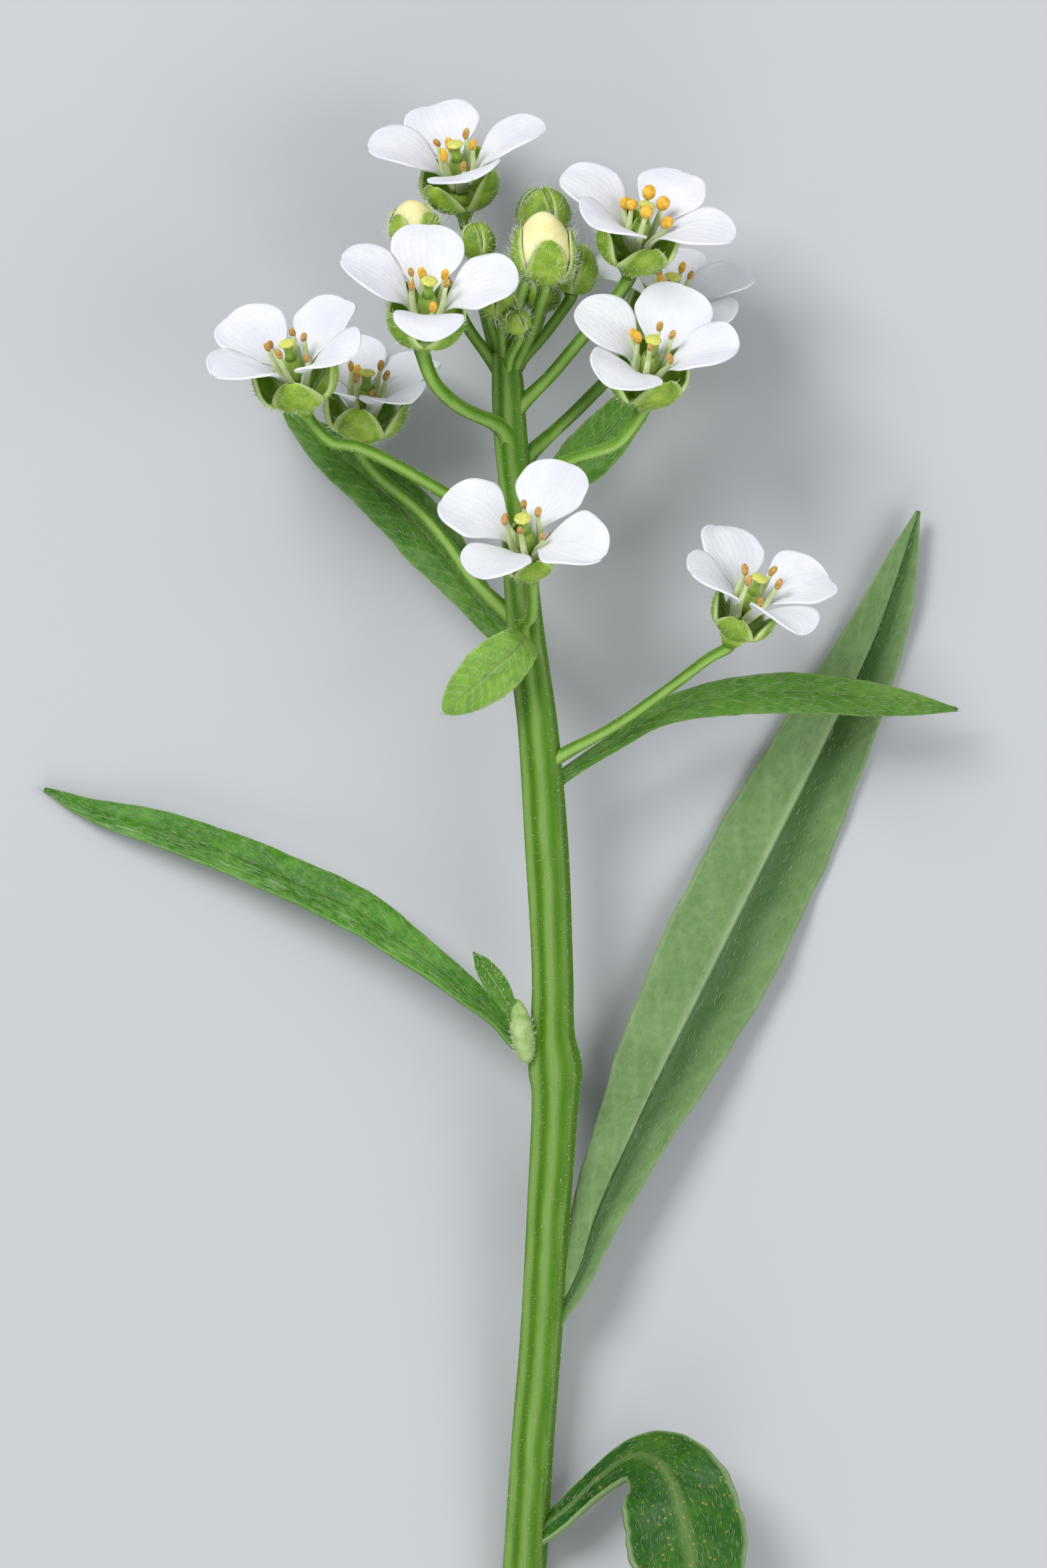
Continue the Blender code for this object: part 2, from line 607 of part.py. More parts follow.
def stem_profile():
    """The stem's outline across: a circle of radius 1 mm with shallow ridges."""
    count = STEM_RIDGES * 2
    curve = bpy.data.curves.new("stem_outline", "CURVE")
    curve.dimensions = "2D"
    spline = curve.splines.new("POLY")
    spline.points.add(count - 1)
    spline.use_cyclic_u = True
    for index, point in enumerate(spline.points):
        angle = math.tau * index / count
        radius = (1 + STEM_RIDGE_DEPTH * (math.cos(STEM_RIDGES * angle) - 1)) * MM
        point.co = (radius * math.cos(angle), radius * math.sin(angle), 0, 1)
    outline = bpy.data.objects.new("stem_outline", curve)
    outline.hide_render = True
    outline.display_type = "WIRE"
    bpy.context.scene.collection.objects.link(outline)
    return outline


def build_stem(tops, parts):
    """The main stem with every stalk of the head fused to it."""
    outline = stem_profile()
    axis = smooth_points([point[:3] for point in STEM], STEM_RINGS)
    radii = []
    for point in axis:
        before = max((row for row in STEM if row[1] <= point.y + 1e-3), key=lambda row: row[1])
        after = min((row for row in STEM if row[1] >= point.y - 1e-3), key=lambda row: row[1])
        span = max(after[1] - before[1], 1e-6)
        share = min(max((point.y - before[1]) / span, 0), 1)
        radii.append(before[3] + (after[3] - before[3]) * share)
    trunk = tube_mesh("trunk", axis, radii, profile=outline)
    bpy.data.objects.remove(outline, do_unlink=True)
    press_flat(trunk)
    pieces = [trunk]
    for name, top in tops.items():
        way = {**FLOWERS, **BUDS}[name]["stalk"]
        count = 4 if name.startswith("bud") else 2 + len(way)
        points = smooth_points([top] + [Vector(point) for point in way], count)
        thick = STALK_RADIUS if name.startswith("flower") else BUD_STALK_RADIUS
        pieces.append(tube_mesh(name + "_stalk", points, [thick] * count))
    fuse("stem", pieces, "stem_green", parts)


def main():
    """Build the sprig."""
    clear_scene()
    parts = new_collection("sweet_alyssum")
    tops = {}
    for name, spec in FLOWERS.items():
        build_flower(name, spec, parts)
        tops[name] = Vector(spec["base"]) + facing(spec["lean"], spec["tilt"])[0] * STALK_START
    for name, spec in BUDS.items():
        build_bud(name, spec, parts)
        tops[name] = Vector(spec["base"]) - facing(spec["lean"], spec["tilt"])[0] * GAP
    build_leaves(parts)
    build_stem(tops, parts)


main()
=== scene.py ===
"""The looks of a cut sprig of sweet alyssum: thin petals and leaves, stamens, buds and hairs.

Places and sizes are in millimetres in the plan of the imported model, as in the solids' own
source, and are scaled to metres where a mesh is made.
"""

import math

import bpy
import numpy as np
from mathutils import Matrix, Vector

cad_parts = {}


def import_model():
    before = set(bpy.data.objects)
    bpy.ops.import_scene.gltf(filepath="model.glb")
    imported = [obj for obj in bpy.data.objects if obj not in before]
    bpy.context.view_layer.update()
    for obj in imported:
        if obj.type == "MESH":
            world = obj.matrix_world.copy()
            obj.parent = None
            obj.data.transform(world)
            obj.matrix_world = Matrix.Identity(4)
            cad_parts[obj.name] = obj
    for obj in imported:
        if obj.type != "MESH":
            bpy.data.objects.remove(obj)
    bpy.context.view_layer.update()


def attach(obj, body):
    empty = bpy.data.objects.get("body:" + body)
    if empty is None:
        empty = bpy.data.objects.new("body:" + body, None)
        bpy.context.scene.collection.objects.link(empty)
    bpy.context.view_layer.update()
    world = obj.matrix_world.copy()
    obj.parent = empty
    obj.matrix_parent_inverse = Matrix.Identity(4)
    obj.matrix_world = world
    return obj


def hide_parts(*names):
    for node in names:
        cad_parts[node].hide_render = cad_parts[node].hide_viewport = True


MM = 0.001
# The place in the plan that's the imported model's origin.
MIDDLE = np.array([0.0, 2.1, 0.0])
SEED = 7

# The camera looks straight down with a long lens; 42 pixels of the photograph are 1 mm.
PIXELS_PER_MM = 42.0
PHOTO_HEIGHT = 2348
VIEW_CENTRE = (0.89, 5.11)
VIEW_LEVEL = 6.0
LENS = 200.0
SENSOR = 36.0

# Each light: its name, its place and size in millimetres, and its power in watts.
LIGHTS = [("key", (-170, 190, 330), 190, 1.3), ("fill", (230, -60, 260), 260, 0.45),
          ("front", (20, -260, 160), 220, 0.3)]
LIGHT_AIM = (0, 5, 4)
SKY_COLOUR = (0.93, 0.96, 1.0)
SKY_STRENGTH = 0.42
FLOOR_COLOUR = (0.46, 0.47, 0.49)
FLOOR_ROUGHNESS = 0.75
FLOOR_HALF_SIZE = 1.2

# How strongly every surface mirrors light.
SPECULAR = 0.2

# The main stem, from the cut end to the head: x, y, height of the axis, radius.
STEM = [
    (0.8, -24.9, 0.78, 0.83), (1.2, -18.6, 1.6, 0.80), (1.5, -14.8, 2.1, 0.79),
    (1.8, -9.7, 2.7, 0.82), (2.0, -6.3, 3.1, 0.88), (2.0, -5.1, 3.3, 1.01),
    (1.9, -3.8, 3.5, 0.83), (1.9, -1.4, 3.8, 0.77), (1.7, 2.8, 4.3, 0.81),
    (1.4, 6.9, 4.8, 0.75), (1.1, 9.3, 5.1, 0.71), (0.8, 12.1, 5.5, 0.65),
    (0.6, 15.5, 6.0, 0.62), (0.4, 17.6, 6.2, 0.62), (0.3, 19.5, 6.5, 0.58),
    (0.2, 20.5, 6.6, 0.40),
]
STEM_RIDGES = 7
STEM_RIDGE_DEPTH = 0.06
STALK_RADIUS = 0.24
STALK_RIDGES = 3
STALK_RIDGE_DEPTH = 0.05
# Where a stalk starts on the own axis of its flower or bud, how far it runs straight on, and
# how far below its last point it roots in the stem.
FLOWER_STALK_START = -0.6
BUD_STALK_START = -0.02
STALK_STRAIGHT = 0.35
STALK_ROOT_DROP = 1.1

# Each open flower: its base, the way it leans in plan and tips from upright, in degrees,
# the turn of its stamens, how many of its anthers have browned, its petals as (direction,
# lift, length), and its stalk's way down to the stem. Some have an anther radius, a stalk
# radius or a share of the calyx's usual size (cup) of their own.
FLOWERS = {
    "flower_1": dict(
        base=(-1.3, 26.1, 4.8), lean=-8, tilt=57, turn=20, browned=0.15,
        petals=[(6, 18, 2.75), (103, 20, 2.6), (179, 28, 2.65), (276, 21, 2.55)],
        stalk=[(-0.8, 23.6, 4.5), (-0.4, 21.7, 5.1), (0.1, 19.7, 6.1)]),
    "flower_2": dict(
        base=(4.8, 23.8, 7.2), lean=14, tilt=57, turn=65, browned=0.0, anther=0.25,
        petals=[(65, 19, 2.55), (163, 17, 2.7), (238, 23, 2.6), (347, 18, 2.8)],
        stalk=[(3.9, 22.0, 6.5), (3.0, 21.0, 6.4), (1.9, 19.7, 6.4), (0.5, 18.2, 6.4)]),
    "flower_3": dict(
        base=(5.8, 21.5, 2.7), lean=14, tilt=60, turn=35, browned=0.4,
        petals=[(25, 23, 2.5), (95, 12, 2.45), (202, 20, 2.55), (307, 13, 2.6)],
        stalk=[(4.2, 19.9, 2.9), (2.7, 18.4, 4.3), (0.8, 16.5, 5.9)]),
    "flower_4": dict(
        base=(5.2, 19.1, 8.0), lean=9, tilt=51, turn=50, browned=0.5,
        petals=[(73, 25, 2.65), (159, 23, 2.5), (244, 14, 2.6), (353, 29, 2.65)],
        stalk=[(4.2, 17.2, 7.2), (2.4, 16.6, 6.7), (0.8, 15.5, 6.1)]),
    "flower_5": dict(
        base=(-2.6, 21.1, 9.0), lean=6, tilt=51, turn=15, browned=0.1, stalk_radius=0.27,
        petals=[(9, 23, 2.65), (98, 23, 2.6), (175, 26, 2.75), (274, 15, 2.55)],
        stalk=[(-2.25, 19.3, 8.15), (-1.3, 18.45, 7.45), (0.15, 17.75, 6.65)]),
    "flower_6": dict(
        base=(-7.0, 18.9, 7.4), lean=-15, tilt=58, turn=40, browned=0.95,
        petals=[(37, 19, 2.5), (127, 24, 2.6), (206, 24, 2.65), (314, 21, 2.6)],
        stalk=[(-6.0, 17.3, 6.9), (-5.0, 17.1, 6.6), (-3.7, 16.5, 6.3), (-1.6, 15.3, 6.1),
               (0.4, 14.2, 6.0)]),
    "flower_7": dict(
        base=(-4.9, 17.9, 2.9), lean=5, tilt=65, turn=25, browned=0.8,
        petals=[(35, 22, 2.3), (112, 24, 2.4), (220, 26, 2.4), (306, 20, 2.5)],
        stalk=[(-4.2, 16.1, 2.7), (-2.9, 15.0, 3.5), (-1.8, 13.7, 4.2), (-0.8, 12.3, 4.9),
               (0.6, 10.9, 5.3)]),
    "flower_8": dict(
        base=(1.1, 12.9, 8.8), lean=-9, tilt=46, turn=45, browned=0.7, cup=0.78,
        petals=[(52, 19, 2.55), (149, 18, 2.6), (233, 16, 2.6), (321, 10, 2.65)],
        stalk=[(1.2, 11.2, 7.1), (0.9, 10.7, 5.9)]),
    "flower_9": dict(
        base=(8.5, 10.7, 6.4), lean=24, tilt=59, turn=30, browned=0.8, cup=0.78, stalk_radius=0.2,
        petals=[(41, 20, 2.55), (131, 19, 2.55), (218, 25, 2.55), (313, 19, 2.55)],
        stalk=[(7.45, 9.55, 5.9), (6.0, 8.45, 5.5), (4.1, 7.15, 5.2), (1.8, 5.8, 4.8)]),
}

# Each bud: its base, lean and tilt in degrees, length, radius, and its stalk's way down.
# An opening one shows its petals, and says how its sepals are turned.
BUDS = {
    "bud_1": dict(
        base=(-2.9, 24.4, 6.0), lean=-10, tilt=70, length=1.6, radius=0.8, opening=True, turn=45,
        stalk=[(-2.0, 23.2, 5.9), (-1.1, 21.4, 6.2), (0.1, 19.7, 6.4)]),
    "bud_2": dict(
        base=(1.6, 22.9, 7.6), lean=0, tilt=70, length=2.6, radius=1.0, opening=True, turn=10,
        stalk=[(1.2, 21.3, 6.9), (0.7, 20.2, 6.7), (0.3, 19.3, 6.5)]),
    "bud_3": dict(
        base=(1.6, 24.8, 5.4), lean=0, tilt=70, length=1.6, radius=0.85,
        stalk=[(1.2, 23.6, 5.2), (0.7, 22.1, 5.5), (0.4, 20.0, 6.1)]),
    "bud_4": dict(
        base=(2.6, 22.7, 5.6), lean=12, tilt=70, length=1.7, radius=0.68,
        stalk=[(1.7, 21.2, 5.8), (0.5, 19.7, 6.3)]),
    "bud_5": dict(
        base=(-0.7, 23.9, 6.2), lean=-5, tilt=70, length=1.2, radius=0.52,
        stalk=[(-0.4, 21.9, 6.2), (0.2, 19.7, 6.4)]),
    "bud_6": dict(
        base=(1.5, 22.1, 4.6), lean=5, tilt=70, length=1.2, radius=0.58,
        stalk=[(1.0, 20.5, 5.2), (0.4, 19.2, 6.2)]),
    "bud_7": dict(
        base=(0.1, 21.7, 7.6), lean=-5, tilt=60, length=1.1, radius=0.5,
        stalk=[(0.2, 20.4, 6.9), (0.3, 19.3, 6.5)]),
    "bud_8": dict(
        base=(0.7, 21.2, 8.2), lean=-10, tilt=50, length=0.8, radius=0.38,
        stalk=[(0.4, 20.2, 7.1), (0.3, 19.2, 6.6)]),
}

# Each leaf: its midrib, half its width at shares of its length, the rise of its edges, its
# turn about the midrib at the base and the tip, its tint, how many hairs lie on it, and how
# far below its first point it starts from the stem (root).
LEAVES = {
    "leaf_1": dict(
        midrib=[(0.7, -4.2, 3.3), (-0.1, -3.3, 3.2), (-1.8, -1.9, 2.9), (-3.7, -0.5, 2.5),
                (-5.0, 0.4, 2.2), (-7.1, 1.4, 1.8), (-9.4, 2.4, 1.3), (-12.5, 3.5, 0.9),
                (-14.7, 4.1, 0.45), (-16.5, 4.9, 0.27)],
        widths=[(0, 0.34), (0.13, 0.38), (0.2, 0.52), (0.3, 0.66), (0.41, 0.84), (0.54, 0.82),
                (0.68, 0.76), (0.83, 0.6), (0.95, 0.27), (1, 0.05)],
        fold=0.3, turn=(35, 12), tint="leaf_fresh", hairs=1700),
    "leaf_2": dict(
        midrib=[(2.8, -12.6, 2.3), (3.6, -10.2, 2.1), (5.3, -6.4, 1.5), (7.3, -2.4, 0.8),
                (9.0, 1.0, 0.3), (10.6, 4.2, 0.14), (12.2, 7.4, 0.17), (13.8, 10.8, 0.4),
                (15.2, 15.0, 0.9)],
        widths=[(0, 0.3), (0.09, 0.6), (0.17, 0.98), (0.26, 1.4), (0.35, 1.8),
                (0.48, 2.12), (0.65, 1.9), (0.82, 1.24), (0.93, 0.66), (1, 0.06)],
        fold=0.18, tint="leaf_pale", hairs=1300, root=2.4),
    "leaf_3": dict(
        midrib=[(2.7, 5.7, 4.3), (4.4, 6.8, 4.4), (6.1, 7.8, 4.4), (8.5, 8.3, 4.2),
                (11.1, 8.4, 3.9), (14.1, 8.1, 3.3), (16.5, 7.8, 2.6)],
        widths=[(0, 0.24), (0.1, 0.24), (0.25, 0.34), (0.35, 0.5), (0.5, 0.68), (0.62, 0.72),
                (0.78, 0.62), (0.9, 0.38), (0.97, 0.15), (1, 0.04)],
        fold=0.25, turn=(20, 10), tint="leaf_mid", hairs=900),
    "leaf_4": dict(
        midrib=[(0.7, 10.0, 6.5), (-0.3, 9.1, 6.8), (-1.1, 8.4, 6.9), (-1.9, 7.7, 6.5)],
        widths=[(0, 0.3), (0.2, 0.62), (0.45, 0.95), (0.65, 0.92), (0.85, 0.6), (0.95, 0.3),
                (1, 0.06)],
        fold=0.15, tint="leaf_bright", hairs=500, root=-0.5),
    "leaf_5": dict(
        midrib=[(0.35, 10.2, 4.15), (-0.5, 11.3, 3.7), (-2.1, 13.4, 2.8), (-3.7, 15.2, 2.0),
                (-5.6, 16.8, 1.0), (-7.2, 18.1, 0.4), (-7.8, 18.6, 0.28)],
        widths=[(0, 0.32), (0.12, 0.42), (0.35, 0.84), (0.5, 1.05), (0.8, 0.82), (0.95, 0.35),
                (1, 0.06)],
        fold=0.2, tint="leaf_mid", hairs=700),
    "leaf_6": dict(
        midrib=[(1.6, 15.5, 5.0), (3.1, 16.8, 5.0), (4.3, 18.1, 4.8), (5.7, 19.8, 4.3)],
        widths=[(0, 0.3), (0.12, 0.38), (0.35, 0.7), (0.5, 0.9), (0.8, 0.66), (0.95, 0.3),
                (1, 0.06)],
        fold=0.2, tint="leaf_mid", hairs=400),
    "leaf_7": dict(
        midrib=[(2.3, -21.3, 1.6), (3.7, -20.0, 1.5), (5.0, -19.2, 2.1), (6.0, -19.6, 3.4),
                (6.6, -21.2, 4.3), (6.9, -23.1, 4.4), (7.0, -25.2, 3.9)],
        widths=[(0, 0.5), (0.17, 0.55), (0.31, 0.76), (0.43, 1.15), (0.54, 1.7), (0.66, 2.08),
                (0.8, 2.1), (0.9, 1.55), (0.97, 0.8), (1, 0.1)],
        fold=0.12, turn=(145, 80), tint="leaf_dark", hairs=900),
}
LEAF_THICKNESS = 0.24
LEAF_ROOT = 0.9
# A leaf's crease along the midrib: its depth, and its width as a share of the half width.
CREASE_DEPTH = 0.09
CREASE_WIDTH = 0.08
MARGIN_DROOP = 0.1

# The small shoot in the first leaf's axil: its bud's two ends, and its leaf's midrib.
SHOOT_BUD = ((1.0, -4.7, 4.0), (0.65, -2.8, 4.55))
SHOOT_BUD_RADIUS = 0.36
SHOOT_FOLD = 0.3
SHOOT_LEAF = [(0.6, -3.3, 4.5), (0.0, -2.2, 4.8), (-0.9, -0.9, 4.8)]
SHOOT_LEAF_WIDTHS = [(0, 0.2), (0.3, 0.34), (0.55, 0.42), (0.8, 0.3), (1, 0.03)]
SHOOT_LEAF_THICKNESS = 0.14

# The cut face of the stem shows its pith, as a share of the stem's radius.
PITH_SHARE = 0.84
PITH_BULGE = 0.05

# Flower sizes, from the flower's own origin near the foot of its calyx: places across and up.
CLAW = np.array([0.34, 0.35])
CLAW_BEND = np.array([0.62, 1.45])
CLAW_HALF_WIDTH = 0.22
BLADE_START = np.array([0.65, 1.5])
PETAL_LENGTH = 2.6
PETAL_HALF_WIDTH = 1.36
PETAL_THICKNESS = 0.08
SEPAL_FOOT = np.array([0.1, -0.3])
SEPAL_BENDS = np.array([[1.15, -0.4], [1.6, 0.4]])
SEPAL_FOOT_HALF_WIDTH = 0.3
SEPAL_HALF_WIDTH = 0.92
SEPAL_ARCH = 44
SEPAL_THICKNESS = 0.12
BUD_SEPAL_THICKNESS = 0.07
# The cushion that the calyx stands on: heights and radii.
CUSHION = [(-0.75, 0.24), (-0.55, 0.34), (-0.4, 0.46), (-0.2, 0.5), (0.05, 0.42), (0.35, 0.25)]
# The ovary and the stigma: how high their middle is, their radius and half their length.
OVARY_SIZE = (1.15, 0.36, 0.62)
STIGMA_SIZE = (2.17, 0.3, 0.12)
# The style between them: heights and radii.
STYLE = [(1.55, 0.24), (1.75, 0.17), (1.95, 0.16), (2.1, 0.2)]
# Each stamen: its direction round the ovary in degrees, its reach and its height.
STAMENS = [(-28, 0.66, 2.15), (28, 0.68, 2.2), (92, 0.86, 1.75), (152, 0.66, 2.2),
           (208, 0.7, 2.12), (270, 0.88, 1.7)]
FILAMENT_RADII = np.linspace(0.15, 0.075, 10)
ANTHER_RADIUS = 0.165
ANTHER_HALF_LENGTH = 0.26
BROWNED_SIZE = 0.8
HEART_FINISHES = ["ovary_green", "filament_pale", "stigma_yellow", "anther_gold",
                  "anther_brown"]
OVARY, FILAMENT, STIGMA, GOLD_ANTHER, BROWN_ANTHER = range(5)

# How many points each sheet has along and across.
LEAF_GRID = (130, 31)
SHOOT_GRID = (40, 13)
PETAL_GRID = (40, 27)
SEPAL_GRID = (22, 15)
BUD_SEPAL_GRID = (16, 11)

# Hairs on each kind of piece: how many, their length, and the radius of a hair's root. How
# many a bud has goes by its size, and each leaf says how many it has.
CALYX_HAIRS = (340, 0.3, 0.013)
SHOOT_HAIRS = (260, 0.3, 0.012)
STEM_HAIRS = (6500, 0.3, 0.0095)
BUD_HAIRS = (0.42, 0.013)
BUD_HAIRS_BY_SIZE = 420
LEAST_BUD_HAIRS = 60
LEAF_HAIRS = (0.36, 0.009)
# The stem has no hairs this close to the table.
BARE_BELOW = 0.35
# How hairs stand: out from the surface, along it, and strayed.
HAIR_LAY = {"hair_fine": (0.8, 0.45, 0.28), "hair_lying": (0.16, 1.0, 0.16)}


class Shape:
    """Points and faces of one piece, gathered part by part."""

    def __init__(self):
        self.points, self.faces, self.maps, self.finishes = [], [], [], []
        self.count = 0

    def add(self, points, faces, maps=None, finish=0):
        """Adds points (n, 3) in millimetres, faces, and a (u, v) pair for each point."""
        points = np.asarray(points, float)
        if maps is None:
            maps = np.zeros((len(points), 2))
        self.points.append(points)
        self.maps.append(np.asarray(maps, float))
        self.faces.extend([tuple(index + self.count for index in face) for face in faces])
        self.finishes.extend([finish] * len(faces))
        self.count += len(points)

    def mesh(self, name):
        """The gathered mesh in metres, smooth, with its (u, v) pairs as a UV map."""
        points = (np.concatenate(self.points) - MIDDLE) * MM
        maps = np.concatenate(self.maps)
        mesh = bpy.data.meshes.new(name)
        mesh.from_pydata(points.tolist(), [], self.faces)
        corners = np.empty(len(mesh.loops), np.int32)
        mesh.loops.foreach_get("vertex_index", corners)
        layer = mesh.uv_layers.new(name="UVMap")
        layer.data.foreach_set("uv", maps[corners].astype(np.float32).ravel())
        mesh.polygons.foreach_set("material_index", np.array(self.finishes, np.int32))
        mesh.shade_smooth()
        mesh.update()
        return mesh


def unit(vectors):
    """Vectors scaled to length 1."""
    return vectors / np.maximum(np.linalg.norm(vectors, axis=-1, keepdims=True), 1e-9)


def new_object(name, data):
    """An object in the scene that holds a mesh, a light or a camera."""
    thing = bpy.data.objects.new(name, data)
    bpy.context.scene.collection.objects.link(thing)
    return thing


def piece(shape, name, finishes, replaces=(), thickness=None):
    """An object of the sprig, riding on its body, with its own materials."""
    mesh = shape.mesh(name)
    for finish in finishes:
        mesh.materials.append(bpy.data.materials[finish])
    thing = new_object(name, mesh)
    if thickness:
        solid = thing.modifiers.new("thickness", "SOLIDIFY")
        solid.thickness = thickness * MM
        solid.offset = 0.0
    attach(thing, "root")
    if replaces:
        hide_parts(*replaces)


def smooth_points(points, count):
    """Even points along a smooth curve that passes through the given ones."""
    knots = [np.array(p, float) for p in points]
    knots = [2 * knots[0] - knots[1]] + knots + [2 * knots[-1] - knots[-2]]
    dense = []
    for a, b, c, d in zip(knots, knots[1:], knots[2:], knots[3:]):
        for step in range(16):
            t = step / 16
            dense.append(0.5 * (2 * b + (c - a) * t + (2 * a - 5 * b + 4 * c - d) * t ** 2
                                + (3 * b - a - 3 * c + d) * t ** 3))
    dense.append(knots[-2])
    dense = np.array(dense)
    lengths = run_of(dense[:, :3])
    wanted = np.linspace(0, lengths[-1], count)
    return np.stack([np.interp(wanted, lengths, column) for column in dense.T], axis=1)


def carried_sides(line, first=None):
    """The forward direction at each point of a line, and a side direction carried along."""
    forwards = unit(np.gradient(line, axis=0))
    side = np.cross(forwards[0], (0, 0, 1)) if first is None else np.array(first, float)
    sides = []
    for forward in forwards:
        side = side - forward * side.dot(forward)
        side = side / np.linalg.norm(side)
        sides.append(side)
    return forwards, np.array(sides)


def grid_faces(rows, columns, closed=False):
    """Quads of a grid of points, row by row, its columns joined round if closed."""
    wide = columns if closed else columns - 1
    return [(r * columns + c, r * columns + (c + 1) % columns,
             (r + 1) * columns + (c + 1) % columns, (r + 1) * columns + c)
            for r in range(rows - 1) for c in range(wide)]


def run_of(line):
    """How far along a line each of its points is."""
    return np.concatenate([[0], np.cumsum(np.linalg.norm(np.diff(line, axis=0), axis=1))])


def add_closed(shape, points, maps, ends, end_maps, finish):
    """Adds rings of points (rows, sides, 3), each end closed by triangles to a point."""
    rows, sides = points.shape[:2]
    first, base = rows * sides, (rows - 1) * sides
    faces = grid_faces(rows, sides, closed=True)
    faces += [(first, (c + 1) % sides, c) for c in range(sides)]
    faces += [(first + 1, base + c, base + (c + 1) % sides) for c in range(sides)]
    shape.add(np.concatenate([points.reshape(-1, 3), ends]), faces,
              np.concatenate([maps.reshape(-1, 2), end_maps]), finish)


def tube(shape, line, radii, sides, finish=0, ridges=0, depth=0.0, flat=1.0):
    """A closed tube along a line, with ridges or flattened if wanted."""
    forwards, side = carried_sides(line)
    up = np.cross(side, forwards)
    angle = np.linspace(0, math.tau, sides, endpoint=False)
    swell = 1 + depth * (np.cos(ridges * angle) - 1)
    ring = (np.cos(angle) * swell)[None, :, None] * side[:, None, :]
    ring = ring + (np.sin(angle) * swell * flat)[None, :, None] * up[:, None, :]
    points = line[:, None, :] + ring * radii[:, None, None]
    run = run_of(line)
    maps = np.stack(np.broadcast_arrays((angle / math.tau)[None, :], run[:, None]), axis=-1)
    add_closed(shape, points, maps, [line[0], line[-1]], [[0, 0], [0, run[-1]]], finish)


def egg(shape, centre, axis, radius, half, segments, rings, finish, swell=None, flat=1.0,
        taper=0.15):
    """An egg about a centre, its length along an axis, shaped by swell(angle, height)."""
    axis = unit(np.array(axis, float))
    side = unit(np.cross((0, 0, 1) if abs(axis[2]) < 0.9 else (1, 0, 0), axis))
    up = np.cross(axis, side)
    steepest = math.pi / 2 * 0.985
    climb, angle = np.meshgrid(np.linspace(-steepest, steepest, rings),
                               np.linspace(0, math.tau, segments, endpoint=False),
                               indexing="ij")
    height = np.sin(climb)
    wide = np.cos(climb) * (1 - taper * height)
    if swell:
        wide = wide * swell(angle, height)
    x = wide * np.cos(angle) * radius
    y = wide * np.sin(angle) * radius * flat
    z = height * half
    points = centre + x[..., None] * side + y[..., None] * up + z[..., None] * axis
    maps = np.stack([angle / math.tau, (height + 1) / 2], axis=-1)
    add_closed(shape, points, maps, [centre - axis * half, centre + axis * half],
               [[0.5, 0], [0.5, 1]], finish)


def facing(spec):
    """A flower's or bud's own axes in the plan: columns side, front and up."""
    lean, tilt = math.radians(spec["lean"]), math.radians(spec["tilt"])
    up = np.array([math.sin(tilt) * math.sin(lean), math.sin(tilt) * math.cos(lean),
                   math.cos(tilt)])
    side = np.array([math.cos(lean), -math.sin(lean), 0.0])
    return np.stack([side, np.cross(up, side), up], axis=1)


def placed(points, spec):
    """Points of a flower's or bud's own space, put in the plan."""
    return points @ facing(spec).T + np.array(spec["base"])


def upright(rows, spec):
    """Points on a flower's own axis at the heights that rows start with."""
    return placed(np.array([[0, 0, row[0]] for row in rows]), spec)


def turned(points, degrees):
    """Points turned about the z axis."""
    angle = math.radians(degrees)
    c, s = math.cos(angle), math.sin(angle)
    return points @ np.array([[c, s, 0], [-s, c, 0], [0, 0, 1]])


def bezier(t, a, b, c, d):
    """Points of a cubic curve for an array of t."""
    s = 1 - t
    return (a * (s ** 3)[..., None] + 3 * b * (t * s ** 2)[..., None]
            + 3 * c * (t ** 2 * s)[..., None] + d * (t ** 3)[..., None])


def smooth_step(t, low, high):
    """0 below low, 1 above high, and a smooth rise between."""
    x = np.clip((t - low) / (high - low), 0, 1)
    return x * x * (3 - 2 * x)


def as_sheet(points, u, t):
    """The points of a sheet in one list, its faces, and its maps from its own places."""
    maps = np.stack(np.broadcast_arrays((u + 1) / 2, t), axis=-1)
    return points.reshape(-1, 3), grid_faces(*points.shape[:2]), maps.reshape(-1, 2)


def radial_sheet(profile, half_width, arch, size, wave, phase, twist, bend=0.0):
    """A petal or sepal: a sheet about a midline in the x-z plane, arched across it."""
    along, across = size
    t = 1 - (1 - np.linspace(0, 1, along)) ** 1.5
    t, u = np.meshgrid(t, np.linspace(-1, 1, across), indexing="ij")
    midline = profile(t)
    slope = unit(profile(np.minimum(t + 0.01, 1.0)) - profile(np.maximum(t - 0.01, 0.0)))
    width = half_width(t)
    arch = math.radians(arch)
    y = width * np.sin(arch * u) / math.sin(arch)
    lift = width * (1 - np.cos(arch * u)) / math.sin(arch)
    ripple = np.sin(math.tau * (1.3 * t + phase) + 1.9 * np.sign(u))
    lift = lift + wave * width * u ** 2 * t * ripple
    lift = lift + wave * 0.35 * width * np.sin(5.2 * u + 6 * phase) * t
    roll = math.radians(twist) * t
    y, lift = y * np.cos(roll) - lift * np.sin(roll), y * np.sin(roll) + lift * np.cos(roll)
    y = y + bend * t ** 2
    points = np.stack([midline[..., 0] - slope[..., 1] * lift, y,
                       midline[..., 1] + slope[..., 0] * lift], axis=-1)
    return as_sheet(points, u, t)


